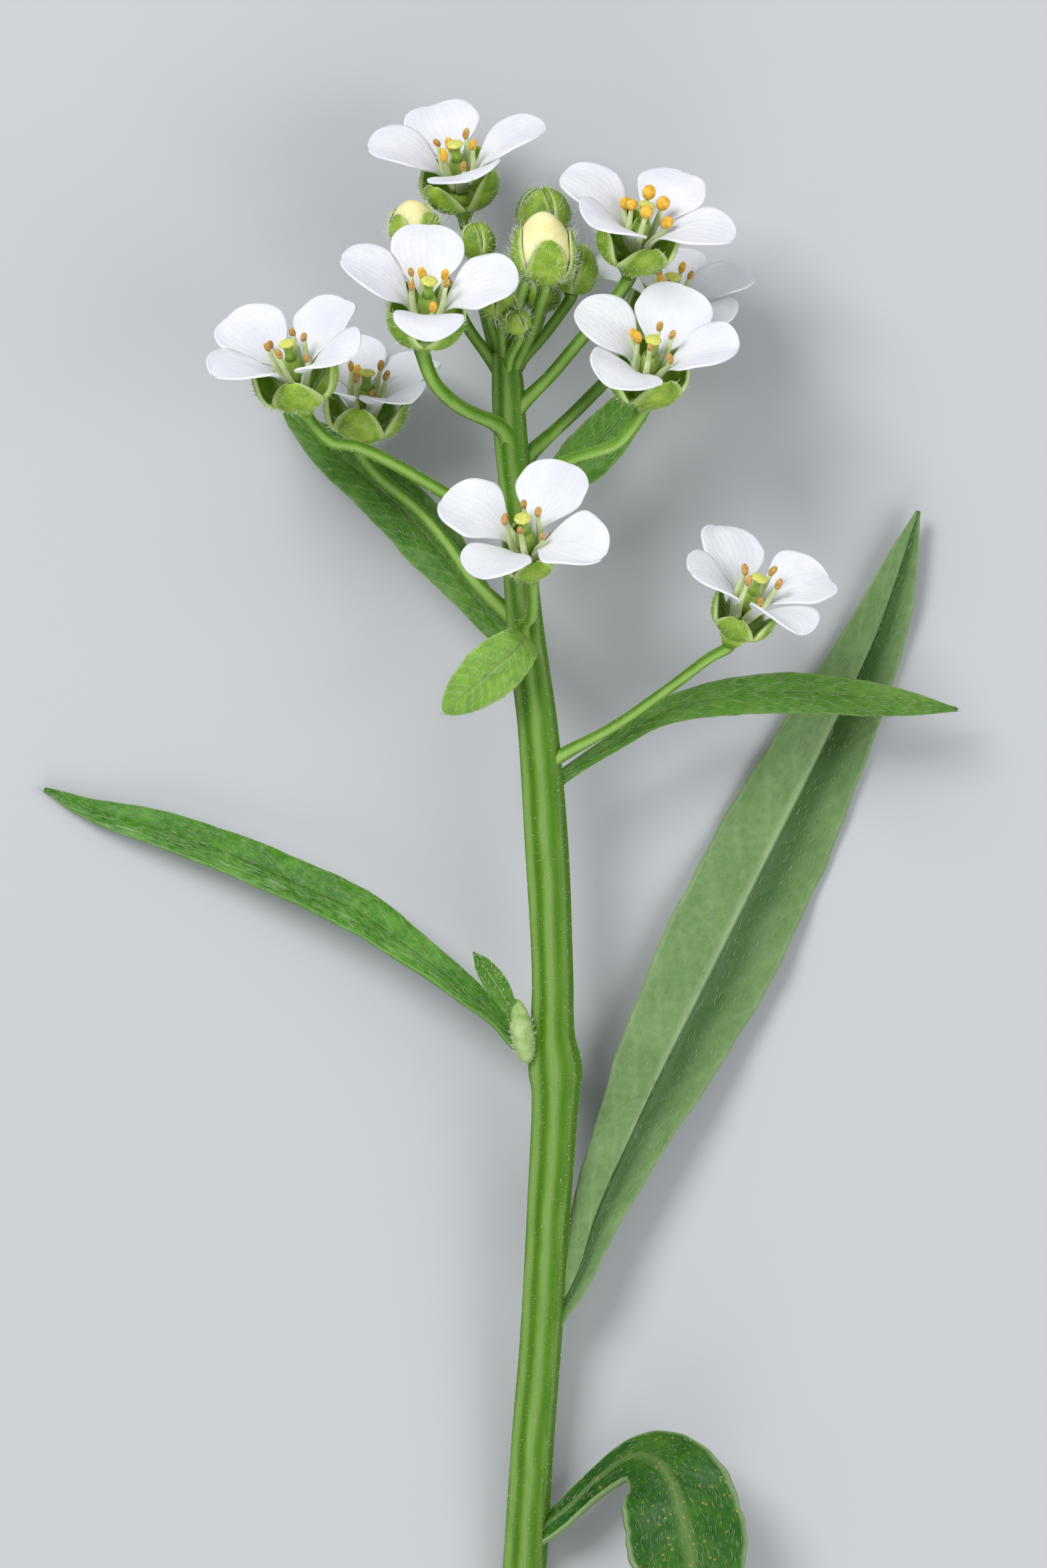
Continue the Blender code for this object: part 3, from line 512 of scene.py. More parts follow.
def petal(direction, lift, length, rng):
    """One petal: a narrow claw and a broad, round, softly waved blade."""
    rise = math.radians(lift)
    out = np.array([math.cos(rise), math.sin(rise)])
    tip = BLADE_START + out * length
    sag = np.array([out[1], -out[0]]) * rng.uniform(0.05, 0.3)
    broad = PETAL_HALF_WIDTH * rng.uniform(0.95, 1.05) * min(1, length / PETAL_LENGTH)
    phase = rng.uniform(0, 1)

    def profile(t):
        return bezier(t, CLAW, CLAW_BEND, tip - out * length * 0.5 - sag * 1.3, tip + sag)

    def half_width(t):
        opening = CLAW_HALF_WIDTH + (broad - CLAW_HALF_WIDTH) * smooth_step(t, 0.2, 0.66)
        end = np.sqrt(np.clip(1 - (np.clip(t - 0.6, 0, 1) / 0.403) ** 2.5, 0, 1))
        return opening * end * (1 + 0.02 * np.sin(math.tau * (3 * t + phase)))

    points, faces, maps = radial_sheet(
        profile, half_width, rng.uniform(12, 30), PETAL_GRID, wave=rng.uniform(0.03, 0.08),
        phase=phase, bend=rng.uniform(-0.15, 0.15), twist=rng.uniform(-8, 8))
    return turned(points, direction), faces, maps


def sepal(direction, rng):
    """One sepal: a broad scoop that cups the flower, its tip close under the petals."""
    tip = np.array([rng.uniform(1.38, 1.5), rng.uniform(1.3, 1.5)])

    def profile(t):
        return bezier(t, SEPAL_FOOT, *SEPAL_BENDS, tip)

    def half_width(t):
        opening = smooth_step(t, 0.0, 0.5) * (SEPAL_HALF_WIDTH - SEPAL_FOOT_HALF_WIDTH)
        opening = SEPAL_FOOT_HALF_WIDTH + opening
        return opening * np.sqrt(np.clip(1 - (np.clip(t - 0.5, 0, 1) / 0.505) ** 2.0, 0, 1))

    points, faces, maps = radial_sheet(profile, half_width, SEPAL_ARCH, SEPAL_GRID, wave=0.05,
                                       phase=rng.uniform(0, 1), twist=rng.uniform(-8, 8))
    return turned(points, direction), faces, maps


def facing_away(centre):
    """A weight for the faces that face away from a point, and very little for the others."""
    return lambda middle, normal: ((normal * (middle - centre)).sum(axis=1) > 0) + 0.02


def hairs(name, points, faces, growth, lean, rng, keep=None, finish="hair_fine"):
    """Fine tapering hairs, three-sided, rooted on faces.

    growth is how many, their length and their root's radius. lean is where they lie along,
    one direction or a function of their feet. keep weighs faces by their middle and normal.
    """
    count, length, root = growth
    faces = np.array([face[:3] for face in faces] + [(face[0], face[2], face[3])
                                                      for face in faces if len(face) == 4])
    corner = points[faces]
    normal = np.cross(corner[:, 1] - corner[:, 0], corner[:, 2] - corner[:, 0])
    area = np.linalg.norm(normal, axis=1)
    if keep:
        area = area * keep(corner.mean(axis=1), unit(normal))
    chosen = rng.choice(len(faces), count, p=area / area.sum())
    mix = rng.dirichlet((1, 1, 1), count)
    foot = (corner[chosen] * mix[..., None]).sum(axis=1)
    rise = unit(normal[chosen])
    along = unit(lean(foot) if callable(lean) else lean + 0 * foot)
    away = along - rise * (along * rise).sum(axis=1, keepdims=True)
    stray = rng.normal(0, 1, (count, 3))
    stand, lie, strayed = HAIR_LAY[finish]
    direct = unit(rise * stand + unit(away) * lie + stray * strayed)
    reach = length * rng.uniform(0.55, 1.15, (count, 1))
    middle = foot + direct * reach * 0.5 + rise * reach * 0.06
    tip = foot + direct * reach + away * reach * 0.12 - rise * reach * 0.08
    across = unit(np.cross(direct, rng.normal(0, 1, (count, 3))))
    other = np.cross(direct, across)
    ring = []
    for place, thick in ((foot - rise * 0.03, root), (middle, root * 0.7)):
        for turn in range(3):
            angle = math.tau * turn / 3
            ring.append(place + (across * math.cos(angle) + other * math.sin(angle)) * thick)
    ring.append(tip)
    packed = np.stack(ring, axis=1).reshape(-1, 3)
    packed[:, 2] = np.maximum(packed[:, 2], 0.0)
    pattern = [(0, 1, 4, 3), (1, 2, 5, 4), (2, 0, 3, 5), (3, 4, 6), (4, 5, 6), (5, 3, 6)]
    shape = Shape()
    shape.add(packed, [tuple(7 * hair + corner for corner in face)
                       for hair in range(count) for face in pattern])
    piece(shape, name, [finish])


def feed(tree, node, inputs):
    """Gives a node's inputs their values, or links from the sockets of other nodes."""
    for key, value in inputs.items():
        if isinstance(value, bpy.types.NodeSocket):
            tree.links.new(value, node.inputs[key])
        else:
            node.inputs[key].default_value = value


def add_node(tree, kind, inputs=None, **settings):
    """A shader node with its settings and inputs."""
    node = tree.nodes.new(kind)
    for key, value in settings.items():
        setattr(node, key, value)
    feed(tree, node, inputs or {})
    return node


def ramp(tree, source, stops):
    """A colour ramp fed by a socket, from (place, colour) pairs; one number means a grey."""
    node = add_node(tree, "ShaderNodeValToRGB", {"Fac": source})
    stops = [(place, (*colour, 1) if isinstance(colour, tuple) else (colour,) * 3 + (1,))
             for place, colour in stops]
    elements = node.color_ramp.elements
    elements[0].position, elements[0].color = stops[0]
    elements[1].position, elements[1].color = stops[-1]
    for place, colour in stops[1:-1]:
        elements.new(place).color = colour
    return node.outputs["Color"]


def blend(tree, share, low, high):
    """A mix of two colours or sockets by a socket or a number."""
    low, high = [(*side, 1) if isinstance(side, tuple) else side for side in (low, high)]
    node = add_node(tree, "ShaderNodeMix", {0: share, 6: low, 7: high}, data_type="RGBA")
    return node.outputs[2]


def noise_at(tree, where, detail=3.0, rough=0.5):
    """Noise at a place that a socket gives."""
    node = add_node(tree, "ShaderNodeTexNoise", {"Vector": where, "Scale": 1.0,
                                                 "Detail": detail, "Roughness": rough})
    return node.outputs["Fac"]


def own_place(tree):
    """A socket with the place in the object's own space."""
    return add_node(tree, "ShaderNodeTexCoord").outputs["Object"]


def noise(tree, scale, detail=3.0, rough=0.55, stretch=(1, 1, 1)):
    """Noise in the object's own space, in waves per millimetre."""
    scales = [scale / MM * factor for factor in stretch]
    mapping = add_node(tree, "ShaderNodeMapping", {"Vector": own_place(tree), "Scale": scales})
    return noise_at(tree, mapping.outputs["Vector"], detail, rough)


def mapped(tree):
    """The two numbers of the piece's UV map: across or round it, and along it."""
    node = add_node(tree, "ShaderNodeUVMap", uv_map="UVMap")
    split = add_node(tree, "ShaderNodeSeparateXYZ", {"Vector": node.outputs["UV"]})
    return split.outputs["X"], split.outputs["Y"]


def maths(tree, operation, a, b=0.0, c=0.0):
    """A math node on sockets or numbers."""
    node = add_node(tree, "ShaderNodeMath", {0: a, 1: b, 2: c}, operation=operation)
    return node.outputs[0]


def times(tree, a, b):
    """The product of two sockets or numbers."""
    return maths(tree, "MULTIPLY", a, b)


def plus(tree, a, b):
    """The sum of two sockets or numbers."""
    return maths(tree, "ADD", a, b)


def pulse(tree, kind, phase):
    """A sine or cosine of a phase, brought between 0 and 1."""
    return maths(tree, "MULTIPLY_ADD", maths(tree, kind, phase), 0.5, 0.5)


def dress(tree, shader, colour, height, strength, depth):
    """Gives a shader its colour, and a bump of a given depth in millimetres."""
    bump = add_node(tree, "ShaderNodeBump", {"Height": height, "Strength": strength,
                                             "Distance": depth * MM})
    feed(tree, shader, {"Base Color": colour, "Normal": bump.outputs["Normal"]})


def new_material(name, colour, roughness, subsurface=0.0, radius=(1.0, 1.0, 1.0), depth=0.4):
    """A material with light spreading a little inside: its node tree and its shader."""
    material = bpy.data.materials.new(name)
    material.use_nodes = True
    material.diffuse_color = (*colour, 1)
    tree = material.node_tree
    shader = tree.nodes["Principled BSDF"]
    feed(tree, shader, {"Base Color": (*colour, 1), "Roughness": roughness,
                        "Specular IOR Level": SPECULAR, "Subsurface Weight": subsurface,
                        "Subsurface Radius": radius, "Subsurface Scale": depth * MM})
    return tree, shader


def petal_material():
    """White petals, cool in their folds, green towards the claw, with faint veins."""
    tree, shader = new_material("petal_white", (0.86, 0.87, 0.92), 0.5, 0.35, (1.0, 0.95, 1.1),
                                0.5)
    across, along = mapped(tree)
    spread = plus(tree, across, -0.5)
    fan = maths(tree, "DIVIDE", spread, plus(tree, along, 0.35))
    wander = times(tree, noise(tree, 1.3), 1.6)
    veins = pulse(tree, "SINE", plus(tree, times(tree, fan, 62.0), wander))
    veins = maths(tree, "POWER", veins, 3.0)
    body = ramp(tree, noise(tree, 0.7), [(0.3, (0.74, 0.75, 0.84)), (0.7, (0.86, 0.86, 0.91))])
    body = blend(tree, times(tree, veins, 0.11), body, (0.70, 0.72, 0.82))
    claw = ramp(tree, along, [(0, 1), (0.12, 0.75), (0.36, 0)])
    height = plus(tree, times(tree, veins, 0.25), noise(tree, 3.0))
    height = plus(tree, height, times(tree, noise(tree, 0.9), 3.0))
    dress(tree, shader, blend(tree, claw, body, (0.42, 0.52, 0.16)), height, 0.45, 0.05)


def sepal_material():
    """Lime-green sepals, paler at their margins and mottled between their veins."""
    tree, shader = new_material("sepal_green", (0.30, 0.42, 0.07), 0.45, 0.25,
                                (0.7, 1.0, 0.25), 0.35)
    across, _ = mapped(tree)
    edge = maths(tree, "ABSOLUTE", plus(tree, across, -0.5))
    body = ramp(tree, noise(tree, 1.6), [(0.3, (0.13, 0.25, 0.02)), (0.52, (0.24, 0.38, 0.035)),
                                        (0.75, (0.38, 0.51, 0.075))])
    margin = ramp(tree, edge, [(0.34, 0), (0.5, 0.75)])
    ribs = maths(tree, "SINE", times(tree, across, 34.0))
    height = plus(tree, times(tree, ribs, 0.2), noise(tree, 5.0))
    dress(tree, shader, blend(tree, margin, body, (0.62, 0.72, 0.34)), height, 0.5, 0.035)


def stem_material(name, dark, middle, light, ridges):
    """A ridged green stem: yellow-green grooves, paler ridges, fine streaks along it."""
    tree, shader = new_material(name, middle, 0.48, 0.15, (0.6, 1.0, 0.3), 0.4)
    around, _ = mapped(tree)
    wander = times(tree, noise(tree, 0.35), 3.2)
    crest = pulse(tree, "COSINE", plus(tree, times(tree, around, math.tau * ridges), wander))
    fine = maths(tree, "SINE", plus(tree, times(tree, around, math.tau * ridges * 5),
                                    times(tree, noise(tree, 0.8), 7.0)))
    crest = plus(tree, times(tree, crest, 0.62),
                 times(tree, noise(tree, 2.2, stretch=(1, 0.2, 1)), 0.5))
    colour = ramp(tree, crest, [(0.2, dark), (0.5, middle), (0.85, light)])
    height = plus(tree, times(tree, fine, 0.25), noise(tree, 4.0))
    dress(tree, shader, colour, height, 0.45, 0.03)


def leaf_material(name, dark, middle, light, vein, specks=None, painted_shade=None, veined=0.22,
                  rim=None, painted_sheen=None):
    """A leaf: mottled green, with a paler midrib, side veins and fine cells.

    specks, band, rim and sheen are colours: of small spots, of painted shade beside the
    midrib where the leaf folds away from the light, of the margin, and of painted streaks of
    light on the lower half.
    """
    tree, shader = new_material(name, middle, 0.46, 0.12, (0.6, 1.0, 0.25), 0.35)
    across, along = mapped(tree)
    offset = maths(tree, "ABSOLUTE", plus(tree, across, -0.5))
    body = ramp(tree, noise(tree, 0.55), [(0.28, dark), (0.52, middle), (0.78, light)])
    mottle = ramp(tree, noise(tree, 3.5, 5.0), [(0.35, dark), (0.7, light)])
    body = blend(tree, 0.35, body, mottle)
    slant = maths(tree, "SUBTRACT", times(tree, along, 95.0), times(tree, offset, 22.0))
    slant = plus(tree, slant, times(tree, noise(tree, 0.6), 5.0))
    side = maths(tree, "POWER", pulse(tree, "SINE", slant), 7.0)
    body = blend(tree, times(tree, side, veined), body, vein)
    rib = ramp(tree, offset, [(0, 0.85), (0.035, 0.5), (0.075, 0)])
    body = blend(tree, rib, body, vein)
    margin = ramp(tree, offset, [(0.455, 0), (0.5, 0.6)])
    body = blend(tree, margin, body, rim or vein)
    if painted_shade:
        # Painted shade: a dark strip just beside the midrib, fading towards the margin, where the
        # folded leaf turns away from the light.
        painted_shade_stops = [(0.49, 0), (0.525, 0.92), (0.68, 0.85), (0.8, 0.4), (0.95, 0.1)]
        body = blend(tree, ramp(tree, across, painted_shade_stops), body, painted_shade)
    # Painted light: pale streaks on the lower half, standing in for light glinting off the lying
    # hairs.
    if painted_sheen:
        where = add_node(tree, "ShaderNodeCombineXYZ",
                         {"X": times(tree, across, 30.0), "Y": times(tree, along, 22.0)})
        streaks = noise_at(tree, where.outputs["Vector"])
        lower = ramp(tree, across, [(0.04, 0.5), (0.2, 1), (0.4, 0.55), (0.5, 0)])
        share = ramp(tree, streaks, [(0.5, 0), (0.66, 0.7)])
        body = blend(tree, times(tree, share, lower), body, painted_sheen)
    if specks:
        cells = add_node(tree, "ShaderNodeTexVoronoi",
                         {"Vector": own_place(tree), "Scale": 3.2 / MM})
        spot = ramp(tree, cells.outputs["Distance"], [(0, 0.9), (0.2, 0)])
        body = blend(tree, spot, body, specks)
    height = plus(tree, times(tree, side, 0.4), noise(tree, 5.0, 4.0))
    dress(tree, shader, body, height, 0.55, 0.05)


def grain_material(name, dark, light, scale, depth, roughness=0.55):
    """A small part of the flower: two colours in grains, with a matching bump."""
    tree, shader = new_material(name, light, roughness, 0.2, (1.0, 0.8, 0.3), 0.2)
    grain = noise(tree, scale, 4.0, 0.6)
    dress(tree, shader, ramp(tree, grain, [(0.32, dark), (0.68, light)]), grain, 0.7, depth)


def make_materials():
    """Every material of the sprig."""
    petal_material()
    sepal_material()
    stem_material("stem_green", (0.055, 0.165, 0.004), (0.095, 0.215, 0.014),
                  (0.17, 0.30, 0.065), STEM_RIDGES)
    stem_material("stalk_green", (0.08, 0.20, 0.008), (0.14, 0.29, 0.028), (0.25, 0.40, 0.09),
                  STALK_RIDGES)
    leaf_material("leaf_mid", (0.03, 0.12, 0.006), (0.065, 0.19, 0.014), (0.14, 0.28, 0.04),
                  (0.24, 0.36, 0.11), veined=0.16)
    # leaf_fresh carries painted streaks of light on its lower half.
    leaf_material("leaf_fresh", (0.02, 0.115, 0.003), (0.05, 0.195, 0.008), (0.16, 0.37, 0.045),
                  (0.16, 0.34, 0.06), veined=0.1, painted_sheen=(0.30, 0.43, 0.22))
    # leaf_pale carries painted shade: a dark strip beside its midrib.
    leaf_material("leaf_pale", (0.105, 0.195, 0.06), (0.145, 0.25, 0.085), (0.21, 0.32, 0.13),
                  (0.30, 0.41, 0.21), painted_shade=(0.022, 0.075, 0.008), veined=0.12)
    leaf_material("leaf_bright", (0.10, 0.24, 0.02), (0.17, 0.34, 0.035), (0.28, 0.46, 0.08),
                  (0.42, 0.56, 0.20))
    leaf_material("leaf_dark", (0.006, 0.055, 0.003), (0.015, 0.095, 0.006), (0.07, 0.19, 0.012),
                  (0.11, 0.20, 0.05), specks=(0.50, 0.30, 0.06), veined=0.06,
                  rim=(0.32, 0.44, 0.2))
    for row in (("ovary_green", (0.20, 0.33, 0.05), (0.36, 0.50, 0.10), 3.0, 0.02),
                ("filament_pale", (0.48, 0.58, 0.26), (0.68, 0.74, 0.44), 2.0, 0.01),
                ("stigma_yellow", (0.50, 0.55, 0.08), (0.76, 0.76, 0.22), 9.0, 0.03),
                ("anther_gold", (0.60, 0.30, 0.02), (0.90, 0.58, 0.09), 8.0, 0.03),
                ("anther_brown", (0.38, 0.19, 0.04), (0.66, 0.42, 0.14), 8.0, 0.03),
                ("bud_cream", (0.74, 0.68, 0.27), (0.92, 0.86, 0.50), 1.2, 0.02, 0.5),
                ("pith_pale", (0.34, 0.46, 0.15), (0.58, 0.66, 0.34), 2.6, 0.03),
                ("bud_green", (0.20, 0.34, 0.08), (0.42, 0.54, 0.24), 2.4, 0.03)):
        grain_material(*row)
    for name, light in (("hair_fine", (0.70, 0.78, 0.58)), ("hair_lying", (0.38, 0.50, 0.28))):
        tree, shader = new_material(name, light, 0.35)
        dark = tuple(0.8 * value for value in light)
        tint = ramp(tree, noise(tree, 0.8), [(0.3, dark), (0.7, light)])
        feed(tree, shader, {"Base Color": tint})


def build_flower(name, spec, rng):
    """The petals, the calyx, and the pistil with its six stamens."""
    blades = Shape()
    for row in spec["petals"]:
        points, faces, maps = petal(*row, rng)
        blades.add(placed(points, spec), faces, maps)
    piece(blades, name + "_petal_blades", ["petal_white"], [name + "_petals"],
          PETAL_THICKNESS)

    calyx = Shape()
    directions = [row[0] for row in spec["petals"]]
    for step, direction in enumerate(directions):
        following = directions[step + 1] if step < 3 else directions[0] + 360
        points, faces, maps = sepal((direction + following) / 2, rng)
        points = points * np.array([1, 1, 0.9]) * spec.get("cup", 1.0)
        calyx.add(placed(points, spec), faces, maps)
    outer = (np.concatenate(calyx.points), list(calyx.faces))
    tube(calyx, upright(CUSHION, spec), np.array(CUSHION)[:, 1], 16)
    piece(calyx, name + "_sepals", ["sepal_green"], [name + "_calyx"],
          SEPAL_THICKNESS)
    own_axes = facing(spec)
    up = own_axes[:, 2]
    hairs(name + "_calyx_hairs", *outer, CALYX_HAIRS, up, rng,
          facing_away(np.array(spec["base"]) + up * 0.1))

    heart = Shape()

    def waist(angle, height):
        return 1 - 0.07 * np.exp(-(np.sin(angle) / 0.25) ** 2) * (1 - height ** 2)

    def slit(angle, _):
        return 1 - 0.28 * np.exp(-(np.sin(angle) / 0.25) ** 2)

    def lobes(angle, _):
        return 1 + 0.05 * np.cos(8 * angle)

    def upright_egg(size, *form):
        egg(heart, placed(np.array([0, 0, size[0]]), spec), up, *size[1:], *form)

    upright_egg(OVARY_SIZE, 24, 14, OVARY, waist, 0.75, 0.05)
    tube(heart, upright(STYLE, spec), np.array(STYLE)[:, 1], 14, OVARY)
    upright_egg(STIGMA_SIZE, 24, 10, STIGMA, lobes, 1.0, -0.1)
    for place, reach, height in STAMENS:
        angle = math.radians(place + spec["turn"] + rng.uniform(-9, 9))
        out = np.array([math.cos(angle), math.sin(angle), 0])
        reach = reach * rng.uniform(0.9, 1.1)
        height = height * rng.uniform(0.96, 1.04)
        way = np.array([out * 0.32 + (0, 0, 0.5), out * (0.38 + 0.25 * reach) + (0, 0, 1.1),
                        out * (reach - 0.05) + (0, 0, height - 0.3),
                        out * reach + (0, 0, height)])
        tube(heart, placed(smooth_points(way, len(FILAMENT_RADII)), spec), FILAMENT_RADII, 10,
             FILAMENT, flat=0.6)
        lean = unit(out * rng.uniform(-0.1, 0.5) + np.array([0, 0, 1])
                    + rng.normal(0, 0.15, 3) * (1, 1, 0))
        brown = rng.uniform() < spec["browned"]
        size = rng.uniform(0.88, 1.08) * (BROWNED_SIZE if brown else 1.0)
        egg(heart, placed(out * reach + np.array([0, 0, height + 0.1]), spec), own_axes @ lean,
            spec.get("anther", ANTHER_RADIUS) * size, ANTHER_HALF_LENGTH * size, 20, 14,
            BROWN_ANTHER if brown else GOLD_ANTHER, slit, 0.8, 0.0)
    piece(heart, name + "_pistil_and_stamens", HEART_FINISHES, [name + "_centre"])


def hugging_sepal(spec, direction, top):
    """A sepal that lies over a bud, from its base to the share top of its length."""
    along, across = BUD_SEPAL_GRID
    t, u = np.meshgrid(np.linspace(0, 1, along), np.linspace(-1, 1, across), indexing="ij")
    climb = -math.pi / 2 + 0.05 + t * math.pi * top
    half = spec["length"] / 2
    height = np.sin(climb)
    angle = math.radians(direction) + u * (0.05 + 0.8 * np.sqrt(1 - 0.995 * t ** 2.4))
    wide = np.cos(climb) * (1 - 0.18 * height) * spec["radius"]
    wide = wide * 1.03 + 0.05 + 0.05 * (1 - u ** 2) + 0.04 * np.sin(3 * t * math.pi) * u
    points = np.stack([wide * np.cos(angle), wide * np.sin(angle),
                       half + height * half * 1.02 + 0.03 * t], axis=-1)
    points, faces, maps = as_sheet(points, u, t)
    return placed(points, spec), faces, maps


def build_bud(name, spec, rng):
    """A bud wrapped in four sepals; an opening one shows its folded cream petals."""
    opening = spec.get("opening", False)
    half = spec["length"] / 2
    up = facing(spec)[:, 2]
    body, wrap = Shape(), Shape()
    turn = spec.get("turn", rng.uniform(0, 90))
    middle = placed(np.array([0, 0, half]), spec)

    def folds(angle, height):
        spiral = angle + 1.6 * height
        return 1 - 0.06 * np.abs(np.cos(2 * spiral)) ** 6 * (height > -0.5)

    egg(body if opening else wrap, middle, up, spec["radius"], half, 32, 22, 0, folds, 1.0,
        0.18)
    for quarter in range(4):
        top = rng.uniform(0.6, 0.7) if opening else 0.93
        wrap.add(*hugging_sepal(spec, turn + 90 * quarter, top))
    piece(wrap, name + "_sepals", ["sepal_green"], [name], BUD_SEPAL_THICKNESS)
    if opening:
        piece(body, name + "_folded_petals", ["bud_cream"], [name + "_petals"])
    count = int(BUD_HAIRS_BY_SIZE * spec["radius"] ** 2) + LEAST_BUD_HAIRS
    hairs(name + "_hairs", np.concatenate(wrap.points), wrap.faces, (count, *BUD_HAIRS), up,
          rng, facing_away(middle))


def leaf_sheet(midrib, widths, fold, turn, size):
    """The middle surface of a leaf, its outline narrowing to a point at the tip."""
    along, across = size
    line = smooth_points(midrib, along)
    ahead = np.array(midrib[2]) - np.array(midrib[1])
    forwards, sides = carried_sides(line, np.cross(ahead, (0, 0, 1.0)))
    t = np.linspace(0, 1, along)
    outline = smooth_points([(place, value, 0) for place, value in widths], 200)
    width = np.interp(t, outline[:, 0], outline[:, 1])
    width = width * (1 + 0.012 * np.sin(math.tau * 7 * t) + 0.01 * np.sin(math.tau * 17 * t))
    angle = np.radians(np.interp(t, (0, 1), turn))[:, None]
    up = np.cross(sides, forwards)
    side = sides * np.cos(angle) - up * np.sin(angle)
    above = np.cross(side, forwards)
    u = np.linspace(-1, 1, across)
    rise = fold * np.sqrt(u ** 2 + 0.01) - fold * 0.1
    rise = rise - MARGIN_DROOP * np.abs(u) ** 5
    crease = -CREASE_DEPTH * np.exp(-(u / CREASE_WIDTH) ** 2)
    ripple = 0.05 * np.sin(9 * math.pi * t)[:, None] * np.abs(u)[None, :] ** 2
    pucker = 0.02 * np.sin(46 * t)[:, None] * np.sin(5 * np.abs(u))[None, :]
    lift = rise[None, :] * width[:, None] + crease[None, :] * np.minimum(width, 1)[:, None]
    lift = lift + (ripple + pucker) * width[:, None]
    points = (line[:, None, :] + side[:, None, :] * (u[None, :] * width[:, None])[..., None]
              + above[:, None, :] * lift[..., None])
    return *as_sheet(points, u[None, :], t[:, None]), line


def axis_at(y):
    """The point on the stem's axis at a place along the sprig."""
    rows = np.array(STEM)
    return np.array([np.interp(y, rows[:, 1], rows[:, k]) for k in (0, 1, 2)])


def build_leaf(name, spec, rng):
    """One leaf blade and the hairs that lie along it."""
    foot = axis_at(spec["midrib"][0][1] - spec.get("root", LEAF_ROOT))
    points, faces, maps, line = leaf_sheet([foot] + spec["midrib"], spec["widths"],
                                           spec["fold"], spec.get("turn", (0, 0)), LEAF_GRID)
    points[:, 2] = np.maximum(points[:, 2], LEAF_THICKNESS / 2 + 0.01)
    blade = Shape()
    blade.add(points, faces, maps)
    piece(blade, name + "_blade", [spec["tint"]], [name], LEAF_THICKNESS)
    forwards, _ = carried_sides(line)

    def along(foot):
        nearest = ((foot[:, None, :] - line[None, :, :]) ** 2).sum(axis=2).argmin(axis=1)
        return forwards[nearest]

    half = LEAF_THICKNESS / 2
    grid = points.reshape(*LEAF_GRID, 3)
    normal = unit(np.cross(*np.gradient(grid, axis=(0, 1)))).reshape(-1, 3)
    if normal[:, 2].mean() < 0:
        normal = -normal
    for side, label, share in ((1, "_upper_hairs", 0.7), (-1, "_under_hairs", 0.3)):
        skin = points + side * normal * half
        first, second, third = skin[list(faces[0][:3])]
        outwards = np.cross(second - first, third - first) @ normal[faces[0][0]] * side
        skin_faces = faces if outwards > 0 else [face[::-1] for face in faces]
        hairs(name + label, skin, skin_faces, (int(spec["hairs"] * share), *LEAF_HAIRS),
              along, rng, finish="hair_lying")


def build_shoot(rng):
    """The small bud and leaf in the first leaf's axil."""
    low, high = np.array(SHOOT_BUD[0]), np.array(SHOOT_BUD[1])
    shoot = Shape()
    egg(shoot, (low + high) / 2, high - low, SHOOT_BUD_RADIUS,
        np.linalg.norm(high - low) / 2 + 0.15, 24, 16, 0,
        lambda angle, height: 1 - 0.1 * np.abs(np.cos(1.5 * angle + height)) ** 8)
    points, faces, maps, _ = leaf_sheet(SHOOT_LEAF, SHOOT_LEAF_WIDTHS, SHOOT_FOLD, (0, 0),
                                        SHOOT_GRID)
    shoot.add(points, faces, maps, finish=1)
    piece(shoot, "axil_shoot_blades", ["bud_green", "leaf_mid"], ["axil_shoot"],
          SHOOT_LEAF_THICKNESS)
    hairs("axil_shoot_hairs", np.concatenate(shoot.points), shoot.faces, SHOOT_HAIRS,
          np.array([-0.3, 1.0, 0.2]), rng)


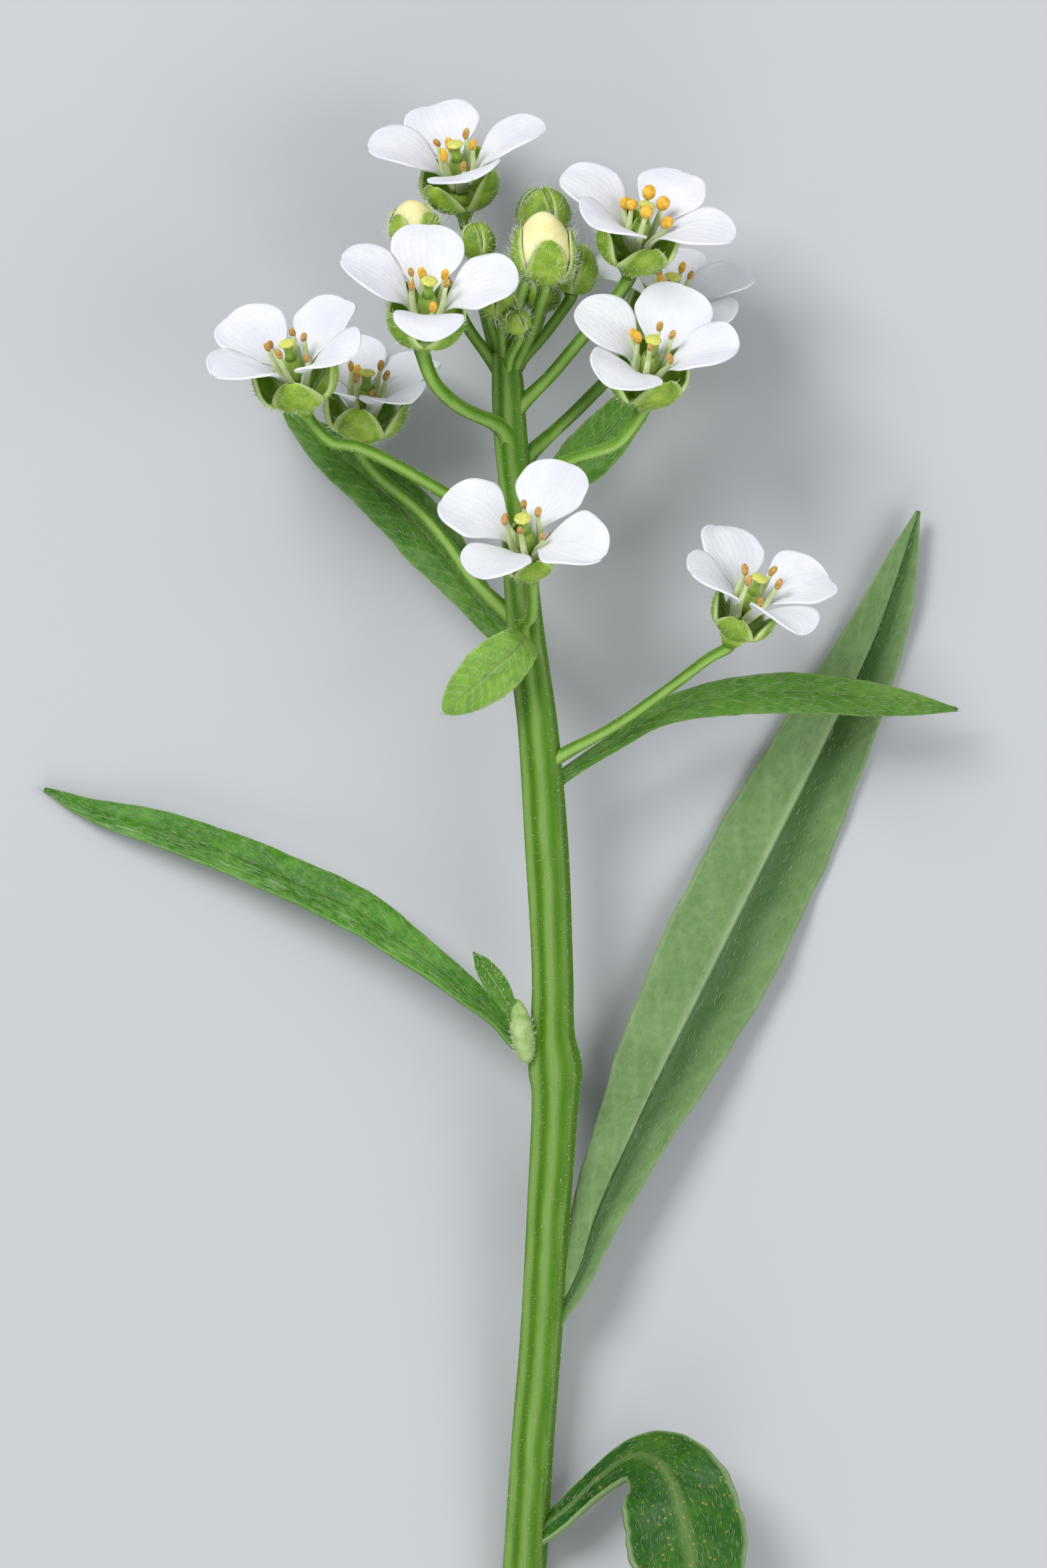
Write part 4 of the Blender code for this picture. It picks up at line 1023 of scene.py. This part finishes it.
def build_stem(rng):
    """The ridged stem with its cut face, and every stalk, flared where it joins."""
    skin, stalk, pith = range(3)
    shape = Shape()
    path = smooth_points(STEM, 260)
    line, radii = path[:, :3], path[:, 3]
    tube(shape, line, radii, 12 * STEM_RIDGES, skin, STEM_RIDGES, STEM_RIDGE_DEPTH)
    egg(shape, line[0], line[0] - line[1], radii[0] * PITH_SHARE, PITH_BULGE, 32, 8, pith)
    for name, spec in {**FLOWERS, **BUDS}.items():
        up = facing(spec)[:, 2]
        flower = name.startswith("flower")
        top = np.array(spec["base"]) + up * (FLOWER_STALK_START if flower else BUD_STALK_START)
        way = [top, top - up * STALK_STRAIGHT] + [np.array(p, float) for p in spec["stalk"]]
        way.append(axis_at(way[-1][1] - STALK_ROOT_DROP))
        count = 16 + 8 * len(way)
        points = smooth_points(way, count)
        t = np.linspace(0, 1, count)
        size = spec.get("stalk_radius", STALK_RADIUS)
        if not flower:
            size = size * min(1, 0.6 + spec["radius"] * 0.4)
        thick = size * (1 + 0.35 * np.exp(-t / 0.04) + 0.6 * smooth_step(t, 0.6, 1.0))
        tube(shape, points, thick, 16, stalk, STALK_RIDGES, STALK_RIDGE_DEPTH)
    points = np.concatenate(shape.points)
    points[:, 2] = np.maximum(points[:, 2], 0.0)
    shape.points = [points]
    piece(shape, "stem_and_stalks", ["stem_green", "stalk_green", "pith_pale"], ["stem"])
    hairs("stem_hairs", points, shape.faces, STEM_HAIRS, np.array([0.0, 1.0, 0.1]), rng,
          lambda middle, _: middle[:, 2] > BARE_BELOW)


def build_floor():
    """A plain pale floor that the sprig lies on."""
    new_material("floor_pale", FLOOR_COLOUR, FLOOR_ROUGHNESS)
    mesh = bpy.data.meshes.new("floor")
    size = FLOOR_HALF_SIZE
    mesh.from_pydata([(-size, -size, 0), (size, -size, 0), (size, size, 0), (-size, size, 0)],
                     [], [(0, 1, 2, 3)])
    mesh.materials.append(bpy.data.materials["floor_pale"])
    floor = new_object("floor", mesh)


def build_lights():
    """Soft studio light from above, a little from the upper left."""
    for name, place, size, power in LIGHTS:
        data = bpy.data.lights.new(name, "AREA")
        data.shape = "DISK"
        data.size = size * MM
        data.energy = power
        light = new_object(name, data)
        light.location = np.array(place) * MM
        direction = Vector(LIGHT_AIM) - Vector(place)
        light.rotation_euler = direction.to_track_quat("-Z", "Y").to_euler()
    world = bpy.data.worlds.new("studio")
    world.use_nodes = True
    background = world.node_tree.nodes["Background"]
    background.inputs["Color"].default_value = (*SKY_COLOUR, 1)
    background.inputs["Strength"].default_value = SKY_STRENGTH
    bpy.context.scene.world = world


def build_camera():
    """A long lens straight above, framing what the photograph frames."""
    data = bpy.data.cameras.new("camera")
    data.lens = LENS
    data.sensor_width = SENSOR
    camera = new_object("camera", data)
    distance = PHOTO_HEIGHT / PIXELS_PER_MM * LENS / SENSOR
    x, y = np.array(VIEW_CENTRE) - MIDDLE[:2]
    camera.location = (x * MM, y * MM, (VIEW_LEVEL + distance) * MM)
    bpy.context.scene.camera = camera


def main():
    """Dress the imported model."""
    bpy.context.scene.view_settings.view_transform = "Standard"
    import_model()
    rng = np.random.default_rng(SEED)
    build_camera()
    build_lights()
    build_floor()
    make_materials()
    for name, spec in FLOWERS.items():
        build_flower(name, spec, rng)
    for name, spec in BUDS.items():
        build_bud(name, spec, rng)
    for name, spec in LEAVES.items():
        build_leaf(name, spec, rng)
    build_shoot(rng)
    build_stem(rng)


main()
